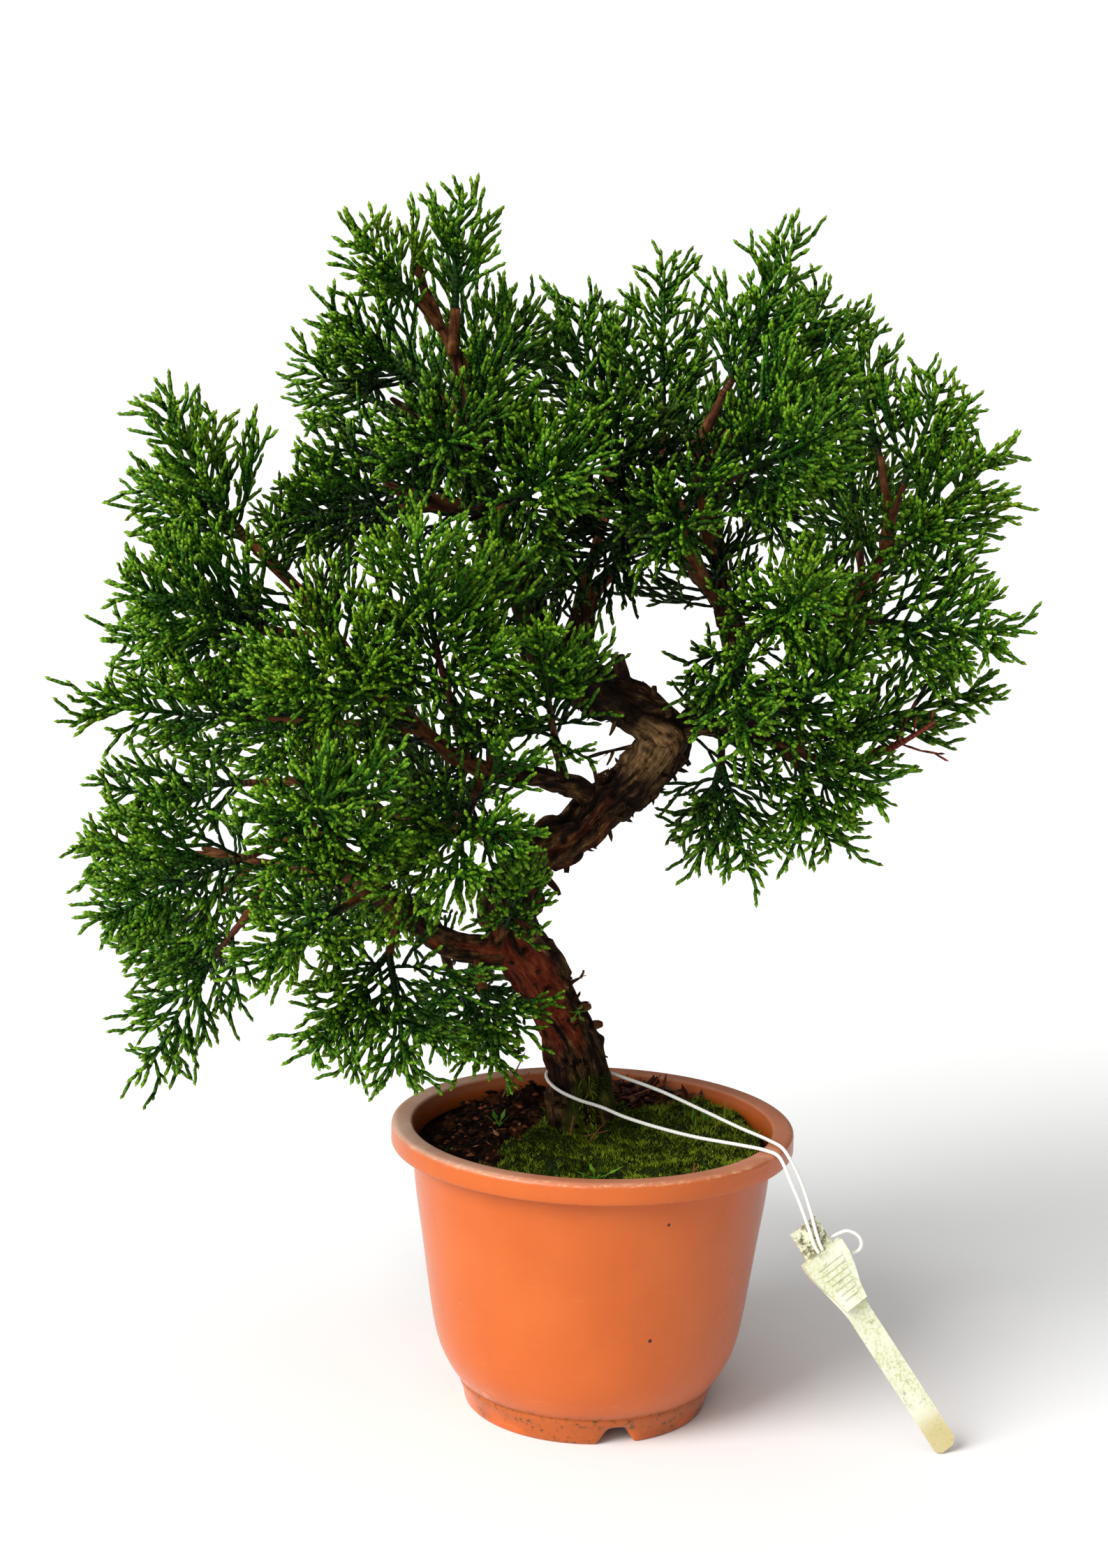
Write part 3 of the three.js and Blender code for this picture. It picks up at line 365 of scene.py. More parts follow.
# Colour ramps: a position from 0 to 1 and the colour there
LEAF_RAMP = [
    (0.0, (84, 42, 22)), (0.12, (70, 42, 18)), (0.24, (15, 33, 3)), (0.5, (18, 50, 4)),
    (0.84, (37, 84, 6)), (0.94, (62, 111, 9)), (1.0, (114, 158, 24)),
]
DEAD_LEAF_RAMP = [(0.0, (66, 22, 16)), (0.6, (108, 38, 28)), (1.0, (142, 64, 44))]
MOSS_LEAF_RAMP = [(0.0, (10, 15, 1)), (0.4, (40, 54, 3)), (0.8, (98, 118, 9)), (1.0, (150, 166, 30))]
MOSS_BED_RAMP = [(0.3, (8, 12, 1)), (0.5, (24, 36, 3)), (0.7, (58, 76, 10))]
BARK_RAMP = [(0.38, (9, 5, 2)), (0.47, (46, 29, 13)), (0.56, (96, 68, 37)), (0.68, (168, 134, 90))]
PLATE_RAMP = [(0.4, (8, 4, 2)), (0.53, (36, 20, 9)), (0.7, (86, 56, 33))]
WORN_AND_LIT_RAMP = [(0.38, (38, 24, 12)), (0.47, (108, 78, 46)), (0.6, (166, 132, 90))]
VEIN_RAMP = [(0.36, (30, 12, 6)), (0.46, (98, 34, 17)), (0.58, (124, 58, 30)), (0.72, (166, 106, 66))]
TWIG_RAMP = [(0.36, (38, 19, 8)), (0.46, (100, 56, 27)), (0.58, (138, 86, 48)), (0.72, (180, 126, 80))]
DAMP_RAMP = [(0.3, (24, 34, 5)), (0.7, (86, 100, 26))]
POT_RAMP = [(0.3, (186, 86, 26)), (0.7, (194, 94, 33))]
DUST_RAMP = [(0.3, (190, 150, 126)), (0.7, (224, 194, 172))]
SOIL_RAMP = [(0.36, (8, 3, 1)), (0.5, (32, 15, 7)), (0.64, (78, 42, 20)), (0.8, (132, 80, 40))]
GRAIN_RAMP = [
    (0.0, (9, 4, 2)), (0.6, (30, 14, 7)), (0.84, (66, 34, 17)), (0.96, (120, 68, 34)), (1.0, (156, 108, 70)),
]
# From dark bark bits over straw to the green of seedlings
LITTER_RAMP = [
    (0.0, (26, 10, 5)), (0.25, (78, 38, 22)), (0.4, (120, 72, 44)), (0.55, (186, 148, 96)),
    (0.62, (96, 118, 40)), (0.8, (52, 112, 20)), (1.0, (124, 172, 48)),
]
LABEL_RAMP = [(0.35, (226, 227, 206)), (0.7, (214, 216, 184))]

# The light: each lamp's turn and height in degrees, strength, and softness in degrees
LAMPS = {"key": (-49, 34, 3.3, 34), "front": (-20, 12, 0.85, 44)}
SURROUND_LIGHT = 0.1
OVERHEAD_LIGHT = 0.78
OVERHEAD_WAY = (-0.5, -0.3, 0.81)


# Curves

class Line:
    """A curve that is walked by the share of its length."""

    def __init__(self, samples):
        self.samples = np.asarray(samples, float)
        gaps = np.linalg.norm(np.diff(self.samples, axis=0), axis=1)
        self.far = np.concatenate([[0.0], np.cumsum(gaps)])
        self.length = self.far[-1]

    @classmethod
    def through(cls, points):
        """A centripetal curve through the points, as the model draws it."""
        fine = np.linspace(0, len(points) - 1, 200 * (len(points) - 1) + 1)
        places = np.array([spline_point(np.asarray(points, float), at) for at in fine])
        line = cls(places)
        line.knots = fine
        return line

    @classmethod
    def bow(cls, start, middle, end):
        """A curve from start to end that leans towards middle."""
        t = np.linspace(0, 1, 200)[:, None]
        return cls((1 - t) ** 2 * start + 2 * t * (1 - t) * middle + t ** 2 * end)

    def at(self, share):
        goal = np.asarray(share, float) * self.length
        return np.stack([np.interp(goal, self.far, axis) for axis in self.samples.T], -1)

    def ahead(self, share):
        step = 0.5 / self.length
        share = np.asarray(share, float)
        return unit(self.at(np.minimum(share + step, 1)) - self.at(np.maximum(share - step, 0)))

    def knot(self, share):
        return np.interp(np.asarray(share, float) * self.length, self.far, self.knots)


def unit(v):
    return v / np.maximum(np.linalg.norm(v, axis=-1, keepdims=True), 1e-12)


def spline_point(points, at):
    low = min(int(at), len(points) - 2)
    share = at - low
    before = points[low - 1] if low > 0 else 2 * points[0] - points[1]
    after = points[low + 2] if low + 2 < len(points) else 2 * points[-1] - points[-2]
    here, there = points[low], points[low + 1]
    legs = ((before, here), (here, there), (there, after))
    gap_a, gap_b, gap_c = (np.linalg.norm(end - start) ** 0.5 for start, end in legs)
    lean_a = (here - before) / gap_a - (there - before) / (gap_a + gap_b) + (there - here) / gap_b
    lean_b = (there - here) / gap_b - (after - here) / (gap_b + gap_c) + (after - there) / gap_c
    lean_a, lean_b = lean_a * gap_b, lean_b * gap_b
    square = -3 * here + 3 * there - 2 * lean_a - lean_b
    cube = 2 * here - 2 * there + lean_a + lean_b
    return here + lean_a * share + square * share ** 2 + cube * share ** 3


def lerp(a, b, share):
    return a + (b - a) * share


def smoothstep(low, high, value):
    """0 up to low and 1 from high on, with a soft step between; low may lie above high."""
    share = np.clip((value - low) / (high - low), 0, 1)
    return share * share * (3 - 2 * share)


def stripe(value, middle, width):
    """1 at the middle, falling softly to 0 on both sides."""
    return np.exp(-((value - middle) / width) ** 2)


def turns_round(sides):
    return np.linspace(0, math.tau, sides, endpoint=False)


def around(side, over, turn):
    """The directions that lie a turn away from side, towards over."""
    return side * np.cos(turn)[..., None] + over * np.sin(turn)[..., None]


def sides_of(ahead):
    """Two directions across each heading."""
    side = unit(np.cross(UP, ahead))
    return side, np.cross(ahead, side)


def flat(x, y):
    """Places on the ground."""
    return np.stack([x, y, np.zeros_like(x)], -1)


def noise(places, size, seed=0):
    """Smooth noise from -1 to 1, with features of about the given size."""
    scaled = np.asarray(places, float) / size + seed * 17.31
    cell = np.floor(scaled).astype(np.int64)
    part = scaled - cell
    part = part * part * (3 - 2 * part)
    total = 0
    for corner in range(8):
        offset = np.array([corner & 1, corner >> 1 & 1, corner >> 2 & 1])
        mixed = (cell + offset) @ np.array([73856093, 19349663, 83492791])
        mixed = (mixed ^ (mixed >> 13)) * 1274126177 & 0xFFFFFFFF
        value = ((mixed ^ (mixed >> 16)) & 0xFFFF) / 32767.5 - 1
        total = total + value * np.prod(np.where(offset, part, 1 - part), axis=-1)
    return total


# Meshes

class Body:
    """Vertices and faces in millimetres that become one piece."""

    def __init__(self):
        self.places = []
        self.faces = []
        self.uv = []
        self.marks = {}
        self.count = 0

    def add(self, places, faces, uv=None, **marks):
        """Adds places and arrays of faces. Every mark is a number or a vector for each place."""
        places = np.asarray(places, float).reshape(-1, 3)
        self.places.append(places)
        self.faces += [np.asarray(rows) + self.count for rows in faces]
        self.count += len(places)
        if uv is not None:
            self.uv.append(np.asarray(uv, float).reshape(-1, 2))
        for name, values in marks.items():
            self.marks.setdefault(name, []).append(np.asarray(values, float))

    def piece(self, name, material, nodes=(), smooth=True):
        mesh = bpy.data.meshes.new(name)
        mesh.vertices.add(self.count)
        mesh.vertices.foreach_set("co", world(np.concatenate(self.places)).astype(np.float32).ravel())
        corners = np.concatenate([rows.ravel() for rows in self.faces]).astype(np.int32)
        sizes = np.concatenate([np.full(len(rows), rows.shape[1]) for rows in self.faces])
        mesh.loops.add(len(corners))
        mesh.loops.foreach_set("vertex_index", corners)
        mesh.polygons.add(len(sizes))
        starts = np.concatenate([[0], np.cumsum(sizes)[:-1]])
        mesh.polygons.foreach_set("loop_start", starts.astype(np.int32))
        mesh.polygons.foreach_set("use_smooth", np.full(len(sizes), smooth))
        if self.uv:
            layer = mesh.uv_layers.new(name="OFBake")
            layer.uv.foreach_set("vector", np.concatenate(self.uv)[corners].astype(np.float32).ravel())
        for mark, rows in self.marks.items():
            values = np.concatenate(rows)
            kind, key = ("FLOAT", "value") if values.ndim == 1 else ("FLOAT_VECTOR", "vector")
            attribute = mesh.attributes.new(mark, kind, "POINT")
            attribute.data.foreach_set(key, values.astype(np.float32).ravel())
        mesh.materials.append(material)
        mesh.update(calc_edges=True)
        mesh.validate()
        return settle(bpy.data.objects.new(name, mesh), nodes)


def settle(made, nodes=()):
    """Links a piece, lets it ride on the part and hides the model's parts that it stands for."""
    if not made.users_collection:
        bpy.context.scene.collection.objects.link(made)
    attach(made, "root")
    if nodes:
        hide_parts(*nodes)
    return made


def ring_faces(rings, sides):
    """Quads between rings of a tube whose places are in rows of rings."""
    low = np.arange(sides)
    high = (low + 1) % sides
    row = np.arange(rings - 1)[:, None] * sides
    return np.stack([row + low, row + high, row + high + sides, row + low + sides], -1).reshape(-1, 4)


def fan(centre, ring, flip=False):
    after = np.roll(ring, -1)
    rows = np.stack([ring, after, np.full(len(ring), centre)], -1)
    return rows[:, ::-1] if flip else rows


def closed_rings(rings, sides):
    """Faces of a tube with a fan over each end; the two middle places come last."""
    ring = np.arange(sides)
    first, last = fan(rings * sides, ring, True), fan(rings * sides + 1, (rings - 1) * sides + ring)
    return [ring_faces(rings, sides), first, last]


def frames_along(aheads):
    """A side and a second side at each point of a line, carried along it without twist."""
    first = np.cross(aheads[0], UP)
    if np.linalg.norm(first) < 0.1:
        first = np.array([1.0, 0.0, 0.0])
    sides = []
    for ahead in aheads:
        first = unit(first - ahead * (first @ ahead))
        sides.append(first)
    sides = np.array(sides)
    return sides, np.cross(aheads, sides)


def tube(body, centres, radii, sides, rise=0.0, marks=None, uv=None):
    """A closed tube: radii and rise are for each ring, or for each ring and side."""
    centres = np.asarray(centres, float)
    rings = len(centres)
    first, second = frames_along(unit(np.gradient(centres, axis=0)))
    out = around(first[:, None], second[:, None], turns_round(sides))
    reach = np.asarray(radii, float).reshape(rings, -1) + rise + np.zeros((rings, sides))
    places = (centres[:, None] + out * reach[..., None]).reshape(-1, 3)
    places = np.concatenate([places, centres[:1], centres[-1:]])
    body.add(places, closed_rings(rings, sides), uv, **(marks or {}))


# Materials

class Shader:
    """A Principled material whose nodes are added by short calls."""

    def __init__(self, name, roughness, **inputs):
        self.material = bpy.data.materials.new(name)
        self.material.use_nodes = True
        self.tree = self.material.node_tree
        self.bsdf = self.tree.nodes["Principled BSDF"]
        self.bsdf.inputs["Roughness"].default_value = roughness
        for key, value in inputs.items():
            self.bsdf.inputs[key.replace("_", " ")].default_value = value

    def node(self, kind, output=0, **inputs):
        made = self.tree.nodes.new(kind)
        for key, value in inputs.items():
            self.feed(made.inputs[key.replace("_", " ")], value)
        return made.outputs[output]

    def feed(self, socket, value):
        if isinstance(value, bpy.types.NodeSocket):
            self.tree.links.new(value, socket)
        else:
            socket.default_value = value

    def set(self, name, value):
        self.feed(self.bsdf.inputs[name], value)

    def place(self):
        return self.node("ShaderNodeTexCoord", "Object")

    def mark(self, name, output="Fac"):
        made = self.tree.nodes.new("ShaderNodeAttribute")
        made.attribute_name = name
        return made.outputs[output]

    def noise(self, vector, scale, detail=3.0, roughness=0.55, stretch=None):
        if stretch:
            made = self.tree.nodes.new("ShaderNodeMapping")
            self.feed(made.inputs["Vector"], vector)
            made.inputs["Scale"].default_value = stretch
            vector = made.outputs[0]
        return self.node(
            "ShaderNodeTexNoise", "Fac", Vector=vector, Scale=scale, Detail=detail, Roughness=roughness)

    def cells(self, vector, scale):
        return self.node("ShaderNodeTexVoronoi", "Color", Vector=vector, Scale=scale)

    def ramp(self, value, stops):
        made = self.tree.nodes.new("ShaderNodeValToRGB")
        self.feed(made.inputs["Fac"], value)
        points = made.color_ramp.elements
        while len(points) < len(stops):
            points.new(0.5)
        for point, (position, colour) in zip(points, stops):
            point.position = position
            point.color = shade(colour)
        return made.outputs["Color"]

    def band(self, value, low, high):
        """0 below low, 1 above high."""
        made = self.tree.nodes.new("ShaderNodeMapRange")
        self.feed(made.inputs["Value"], value)
        made.inputs["From Min"].default_value = low
        made.inputs["From Max"].default_value = high
        made.interpolation_type = "SMOOTHSTEP"
        return made.outputs["Result"]

    def maths(self, operation, a, b=0.5):
        made = self.tree.nodes.new("ShaderNodeMath")
        made.operation = operation
        self.feed(made.inputs[0], a)
        self.feed(made.inputs[1], b)
        return made.outputs[0]

    def times(self, a, b):
        return self.maths("MULTIPLY", a, b)

    def plus(self, a, b):
        return self.maths("ADD", a, b)

    def near(self, place, spot, reach_mm, core_mm):
        """1 within the core around a spot, falling to 0 at the reach."""
        made = self.tree.nodes.new("ShaderNodeVectorMath")
        made.operation = "DISTANCE"
        self.feed(made.inputs[0], place)
        made.inputs[1].default_value = tuple(world(spot))
        return self.band(made.outputs["Value"], reach_mm / 1000, core_mm / 1000)

    def mix(self, share, a, b, blend="MIX"):
        made = self.tree.nodes.new("ShaderNodeMix")
        made.data_type = "RGBA"
        made.blend_type = blend
        self.feed(made.inputs["Factor"], share)
        for socket, value in ((made.inputs["A"], a), (made.inputs["B"], b)):
            self.feed(self.colour_socket(made, socket.name), shade(value))
        return next(s for s in made.outputs if s.type == "RGBA")

    @staticmethod
    def colour_socket(made, name):
        return next(s for s in made.inputs if s.name == name and s.type == "RGBA")

    def bump(self, height, strength, distance_mm, normal=None):
        made = self.tree.nodes.new("ShaderNodeBump")
        self.feed(made.inputs["Height"], height)
        made.inputs["Strength"].default_value = strength
        made.inputs["Distance"].default_value = distance_mm / 1000
        if normal is not None:
            self.feed(made.inputs["Normal"], normal)
        return made.outputs[0]


def shade(colour):
    """An 8-bit sRGB colour as the linear colour that a socket takes; a socket passes through."""
    if isinstance(colour, bpy.types.NodeSocket):
        return colour
    linear = [c / 255 / 12.92 if c <= 10 else ((c / 255 + 0.055) / 1.055) ** 2.4 for c in colour]
    return (*linear, 1.0)


def leaf_marks(s):
    """The shoot's age, along U, and its tone, along V: its own, plus painted shade in the crown's heart and
    painted light across the moss.
    """
    made = s.tree.nodes.new("ShaderNodeUVMap")
    made.uv_map = "OFBake"
    parts = s.tree.nodes.new("ShaderNodeSeparateXYZ")
    s.feed(parts.inputs[0], made.outputs["UV"])
    return parts.outputs[0], parts.outputs[1]


def foliage_material(name, young, stops):
    """Scale leaves: the colour follows the shoot's age and tone, with painted shade between one whorl and
    the next.
    """
    s = Shader(name, 0.5, Specular_IOR_Level=0.14)
    age, tone = leaf_marks(s)
    # A low tone, partly chance and partly the painted shade of the crown's heart, darkens the colour
    colour = s.mix(s.times(s.band(tone, 0.45, 0.0), 0.85), s.ramp(age, stops), DARK_AND_SHADE_GREEN)
    colour = s.mix(s.times(s.band(tone, 0.6, 1.0), 0.4), colour, young)
    # Painted shade in the gaps between whorls, on the waves that also make the bump
    whorls = s.maths("SINE", s.times(age, math.tau * BROWN_AFTER / WHORL_STEP))
    s.set("Base Color", s.mix(s.times(s.band(whorls, 0.1, -0.9), 0.4), colour, DARK_AND_SHADE_GREEN))
    s.set("Normal", s.bump(whorls, 0.5, 0.25))
    return s.material


def moss_leaf_material():
    """Tiny moss leaves: dark at the foot, yellow-green at the tip, brighter from cushion to cushion, and
    brighter towards the right as painted light.
    """
    s = Shader("moss_leaves", 0.6, Specular_IOR_Level=0.08)
    age, tone = leaf_marks(s)
    colour = s.mix(s.times(s.band(tone, 0.5, 0.0), 0.85), s.ramp(age, MOSS_LEAF_RAMP), DARK_AND_SHADE_MOSS)
    s.set("Base Color", s.mix(s.times(s.band(tone, 0.55, 1.0), 0.5), colour, YOUNG_AND_LIT_MOSS))
    return s.material


def bark_material():
    """Dark rugged bark with paler ridges, a pale elbow from wear and a painted pool of light, painted shade
    above the elbow, and bare red-brown live wood where the mark says so.
    """
    s = Shader("bark", 0.85, Specular_IOR_Level=0.12)
    grain = s.mark("grain", "Vector")
    lines = s.noise(grain, 1.0, 6.0, 0.65, (1.0, 1.0, 0.16))
    blotches = s.noise(grain, 1.0, 5.0, 0.7, (0.42, 0.42, 0.28))
    fibres = s.plus(s.times(lines, 0.55), s.times(blotches, 0.45))
    plates = s.noise(grain, 1.0, 4.0, 0.55, (0.2, 0.2, 0.07))
    bark = s.mix(s.band(plates, 0.44, 0.56), s.ramp(fibres, BARK_RAMP), s.ramp(fibres, PLATE_RAMP))
    # The pale elbow: wear, with a painted pool of light
    bark = s.mix(s.mark("worn"), bark, s.ramp(fibres, WORN_AND_LIT_RAMP))
    vein = s.mix(s.band(plates, 0.42, 0.34), s.ramp(fibres, VEIN_RAMP), KNOT_BROWN)
    colour = s.mix(s.mark("live"), bark, vein)
    colour = s.mix(s.mark("twig"), colour, s.ramp(fibres, TWIG_RAMP))
    # Dark cracks, plate gaps and knot holes, with painted shade on the trunk above the elbow
    colour = s.mix(s.times(s.mark("groove"), 0.85), colour, CRACK_AND_SHADE_BROWN)
    s.set("Base Color", s.mix(s.mark("moss"), colour, s.ramp(fibres, DAMP_RAMP)))
    s.set("Normal", s.bump(fibres, 1.0, 1.2, s.bump(plates, 0.6, 1.2)))
    return s.material


def pot_material():
    """Moulded orange-brown plastic with a soft gloss: dirt in its crease, dust on its rim, scratches, a
    painted shadow under its band, a painted highlight on its rim's edge and painted shade inside.
    """
    s = Shader("pot", 0.3, Specular_IOR_Level=0.36)
    place = s.place()
    cloud = s.noise(place, 28.0, 3.0)
    fine = s.noise(place, 900.0, 3.0)
    scratch = s.noise(place, 60.0, 3.0, 0.6, (1.0, 1.0, 26.0))
    colour = s.mix(s.times(s.band(scratch, 0.62, 0.8), 0.2), s.ramp(cloud, POT_RAMP), SCRATCH_ORANGE)
    speckle = s.band(s.noise(place, 420.0, 4.0, 0.7), 0.52, 0.66)
    # Dirt in the crease and on the foot, with the painted shadow under the band
    colour = s.mix(s.times(s.mark("grime_and_shade"), s.plus(s.times(speckle, 0.7), 0.3)), colour, GRIME_AND_SHADE_BROWN)
    # Pale scratches and the painted highlight on the rim's edge, both broken into patches
    worn = s.band(s.noise(place, 260.0, 4.0, 0.7, (1, 1, 3)), 0.5, 0.62)
    colour = s.mix(s.times(s.times(s.mark("chalk_and_glint"), worn), 0.75), colour, CHALK_AND_GLINT_PALE)
    dusty = s.times(s.mark("dust"), s.plus(s.times(speckle, 0.3), 0.68))
    colour = s.mix(dusty, colour, s.ramp(cloud, DUST_RAMP))
    # Painted shade on the inside wall
    colour = s.mix(s.mark("inside_shade"), colour, INSIDE_SHADE_BROWN)
    for spot, size in SPECKS:
        colour = s.mix(s.near(place, spot, size, size / 2), colour, SPECK_BROWN)
    s.set("Base Color", colour)
    s.set("Roughness", s.plus(0.2, s.times(s.plus(cloud, s.mark("dust")), 0.16)))
    s.set("Normal", s.bump(s.plus(fine, scratch), 0.06, 0.3))
    return s.material


def soil_material():
    s = Shader("soil", 0.95, Specular_IOR_Level=0.06)
    place = s.place()
    lumps = s.mix(0.8, s.cells(place, 330.0), LUMP_BROWN, "MULTIPLY")
    colour = s.ramp(s.noise(place, 160.0, 5.0, 0.7), SOIL_RAMP)
    s.set("Base Color", s.mix(0.35, colour, lumps, "MULTIPLY"))
    s.set("Normal", s.bump(s.noise(place, 900.0, 4.0, 0.7), 0.8, 0.8))
    return s.material


def moss_material():
    s = Shader("moss_bed", 0.9, Specular_IOR_Level=0.1)
    fine = s.noise(s.place(), 700.0, 4.0, 0.7)
    s.set("Base Color", s.ramp(fine, MOSS_BED_RAMP))
    s.set("Normal", s.bump(fine, 1.0, 1.0))
    return s.material


def tone_material(name, roughness, gloss, stops):
    """Loose bits whose colour follows their own tone."""
    s = Shader(name, roughness, Specular_IOR_Level=gloss)
    s.set("Base Color", s.ramp(leaf_marks(s)[1], stops))
    return s.material


def cord_material():
    """White braided cord, with painted shade in grey between its strands."""
    s = Shader("cord", 0.75)
    # Painted shade between the strands
    colour = s.mix(s.mark("weave"), CORD_SHADE_GREY, CORD_WHITE)
    soiled = s.band(s.noise(s.place(), 60.0, 3.0), 0.55, 0.8)
    s.set("Base Color", s.mix(soiled, colour, CORD_SOILED))
    return s.material


def label_material():
    """Cream plastic that stood outdoors: bare, with flecks of algae and dirt, and a stained end."""
    s = Shader("label", 0.55)
    place = s.place()
    patches = s.noise(place, 90.0, 3.0)
    flecks = s.band(s.noise(place, 900.0, 3.0, 0.7), 0.48, 0.62)
    stained = s.times(s.near(place, LABEL_END, 20, 20 / 3), 0.9)
    colour = s.mix(stained, s.ramp(patches, LABEL_RAMP), LABEL_STAINED)
    algae = s.times(flecks, s.band(patches, 0.36, 0.56))
    colour = s.mix(s.times(algae, 0.6), colour, LABEL_ALGAE)
    smear = s.noise(place, 300.0, 5.0, 0.75)
    dirt = s.times(s.band(smear, 0.58, 0.7), 0.6)
    mouth = s.times(s.near(place, LABEL_BACK, 11, 11 / 3), s.band(smear, 0.46, 0.56))
    s.set("Base Color", s.mix(s.maths("MAXIMUM", dirt, mouth), colour, LABEL_DIRT))
    s.set("Normal", s.bump(s.noise(place, 1500.0, 2.0), 0.15, 0.2))
    return s.material


# The camera and the cords

def make_camera():
    data = bpy.data.cameras.new("camera")
    data.sensor_width = SENSOR
    data.lens = SENSOR * FOCAL_PX / IMAGE_HEIGHT_PX
    data.clip_start = 0.02
    camera = bpy.data.objects.new("camera", data)
    level = math.cos(CAMERA_DOWN)
    ahead = np.array([math.sin(CAMERA_YAW) * level, math.cos(CAMERA_YAW) * level, -math.sin(CAMERA_DOWN)])
    right = np.array([math.cos(CAMERA_YAW), -math.sin(CAMERA_YAW), 0.0])
    above = np.cross(right, ahead)
    turned = right * math.cos(CAMERA_ROLL) + above * math.sin(CAMERA_ROLL)
    raised = above * math.cos(CAMERA_ROLL) - right * math.sin(CAMERA_ROLL)
    matrix = np.eye(4)
    matrix[:3, :3] = np.stack([turned, raised, -ahead], 1)
    matrix[:3, 3] = world(CAMERA_PLACE)
    camera.matrix_world = Matrix(matrix.tolist())
    bpy.context.scene.collection.objects.link(camera)
    bpy.context.scene.camera = camera


def make_cord(name, route, material):
    """A round braid along its route: two families of strands wind against each other."""
    line = Line.through(route)
    rings = int(line.length / 0.4)
    sides = 12
    shares = np.linspace(0, 1, rings + 1)
    turn = turns_round(sides)
    along = shares[:, None] * line.length * 2.4
    strands = np.cos(turn * 3 + along) * np.cos(turn * 3 - along)
    weave = np.concatenate([(0.5 + 0.5 * strands).ravel(), [0.5, 0.5]])
    body = Body()
    radii = np.full(rings + 1, CORD_DIAMETER / 2 - 0.05)
    tube(body, line.at(shares), radii, sides, strands * 0.06, {"weave": weave})
    made = body.piece(f"{name}_braid", material, [name])
    ends = world(line.at(np.linspace(0, 1, 400)))


# The pot

def wall_inside(gap):
    """The inside of the pot's wall, or a line this far within it, from the rim down to the floor."""
    return [(r - WALL - gap, max(z, FLOOR_TOP + gap)) for r, z in INNER_LINE]


def smooth_outline(points, count):
    """Radius and height at even steps along a smooth curve through the points."""
    line = Line.through([(r, 0, z) for r, z in points])
    return [(r, z) for r, _, z in line.at(np.linspace(0, 1, count))]


def pot_outline():
    """Radius and height from under the floor, over the foot, belly and rim, and down the inside."""
    inner = FOOT_RADIUS - FOOT_WALL
    outline = [(0, FLOOR_UNDER), (20, FLOOR_UNDER), (inner - 0.6, FLOOR_UNDER)]
    outline += [(inner, z) for z in (5.4, 4.2, 3, 1.8, 0.8)]
    outline += [(inner + 0.5, 0), (FOOT_RADIUS - 0.5, 0), (FOOT_RADIUS + 0.1, 0.6)]
    outline += FOOT_LINE + smooth_outline(BELLY_LINE, 26)
    outline += [(r, POT_HEIGHT - RIM_BAND + z) for r, z in RIM_LINE]
    outline += smooth_outline(wall_inside(0), INNER_ROWS)
    return np.array(outline + [(20, FLOOR_TOP), (0, FLOOR_TOP)], float)


def notch_height(across):
    """How high a drain notch arches over a place that lies this far from its middle."""
    shoulders, heights = zip(*NOTCH_ARCH)
    return NOTCH_HEIGHT * np.interp(np.abs(across) / NOTCH_WIDTH, shoulders, heights)


def turn_from(turns, others):
    """How far each turn is from the nearest of the others."""
    return np.abs((turns[:, None] - others + math.pi) % math.tau - math.pi).min(1)


def make_pot():
    notch_turns = np.radians(NOTCH_DEGREES)
    spread = math.asin(NOTCH_WIDTH * 0.62 / FOOT_RADIUS)
    fine = np.concatenate([turn + np.linspace(-spread, spread, 33) for turn in notch_turns])
    coarse = np.linspace(-math.pi, math.pi, 160, endpoint=False)
    coarse = coarse[turn_from(coarse, notch_turns) > spread + 0.01]
    turns = np.sort(np.concatenate([fine, coarse]) % math.tau)
    radius, height = (np.repeat(column[:, None], len(turns), 1) for column in pot_outline()[1:-1].T)
    arch = notch_height(np.sin(turn_from(turns, notch_turns)) * FOOT_RADIUS)
    top = FLOOR_UNDER + 0.3
    lifted = (height < top) & (radius > FOOT_RADIUS - FOOT_WALL - 0.3)
    height = np.where(lifted, arch + height * (top - arch) / top, height)
    places = np.stack([radius * np.cos(turns), radius * np.sin(turns), height], -1)
    rings, sides = height.shape
    spots = np.concatenate([places.reshape(-1, 3), [(0, 0, FLOOR_UNDER), (0, 0, FLOOR_TOP)]])
    rows = np.concatenate([np.repeat(np.arange(rings), sides), [0, rings]])
    body = Body()
    body.add(spots, closed_rings(rings, sides), **pot_marks(spots, rows > rings - INNER_ROWS - 4))
    cut_drains(body.piece("pot_shell", pot_material(), ["pot"]))


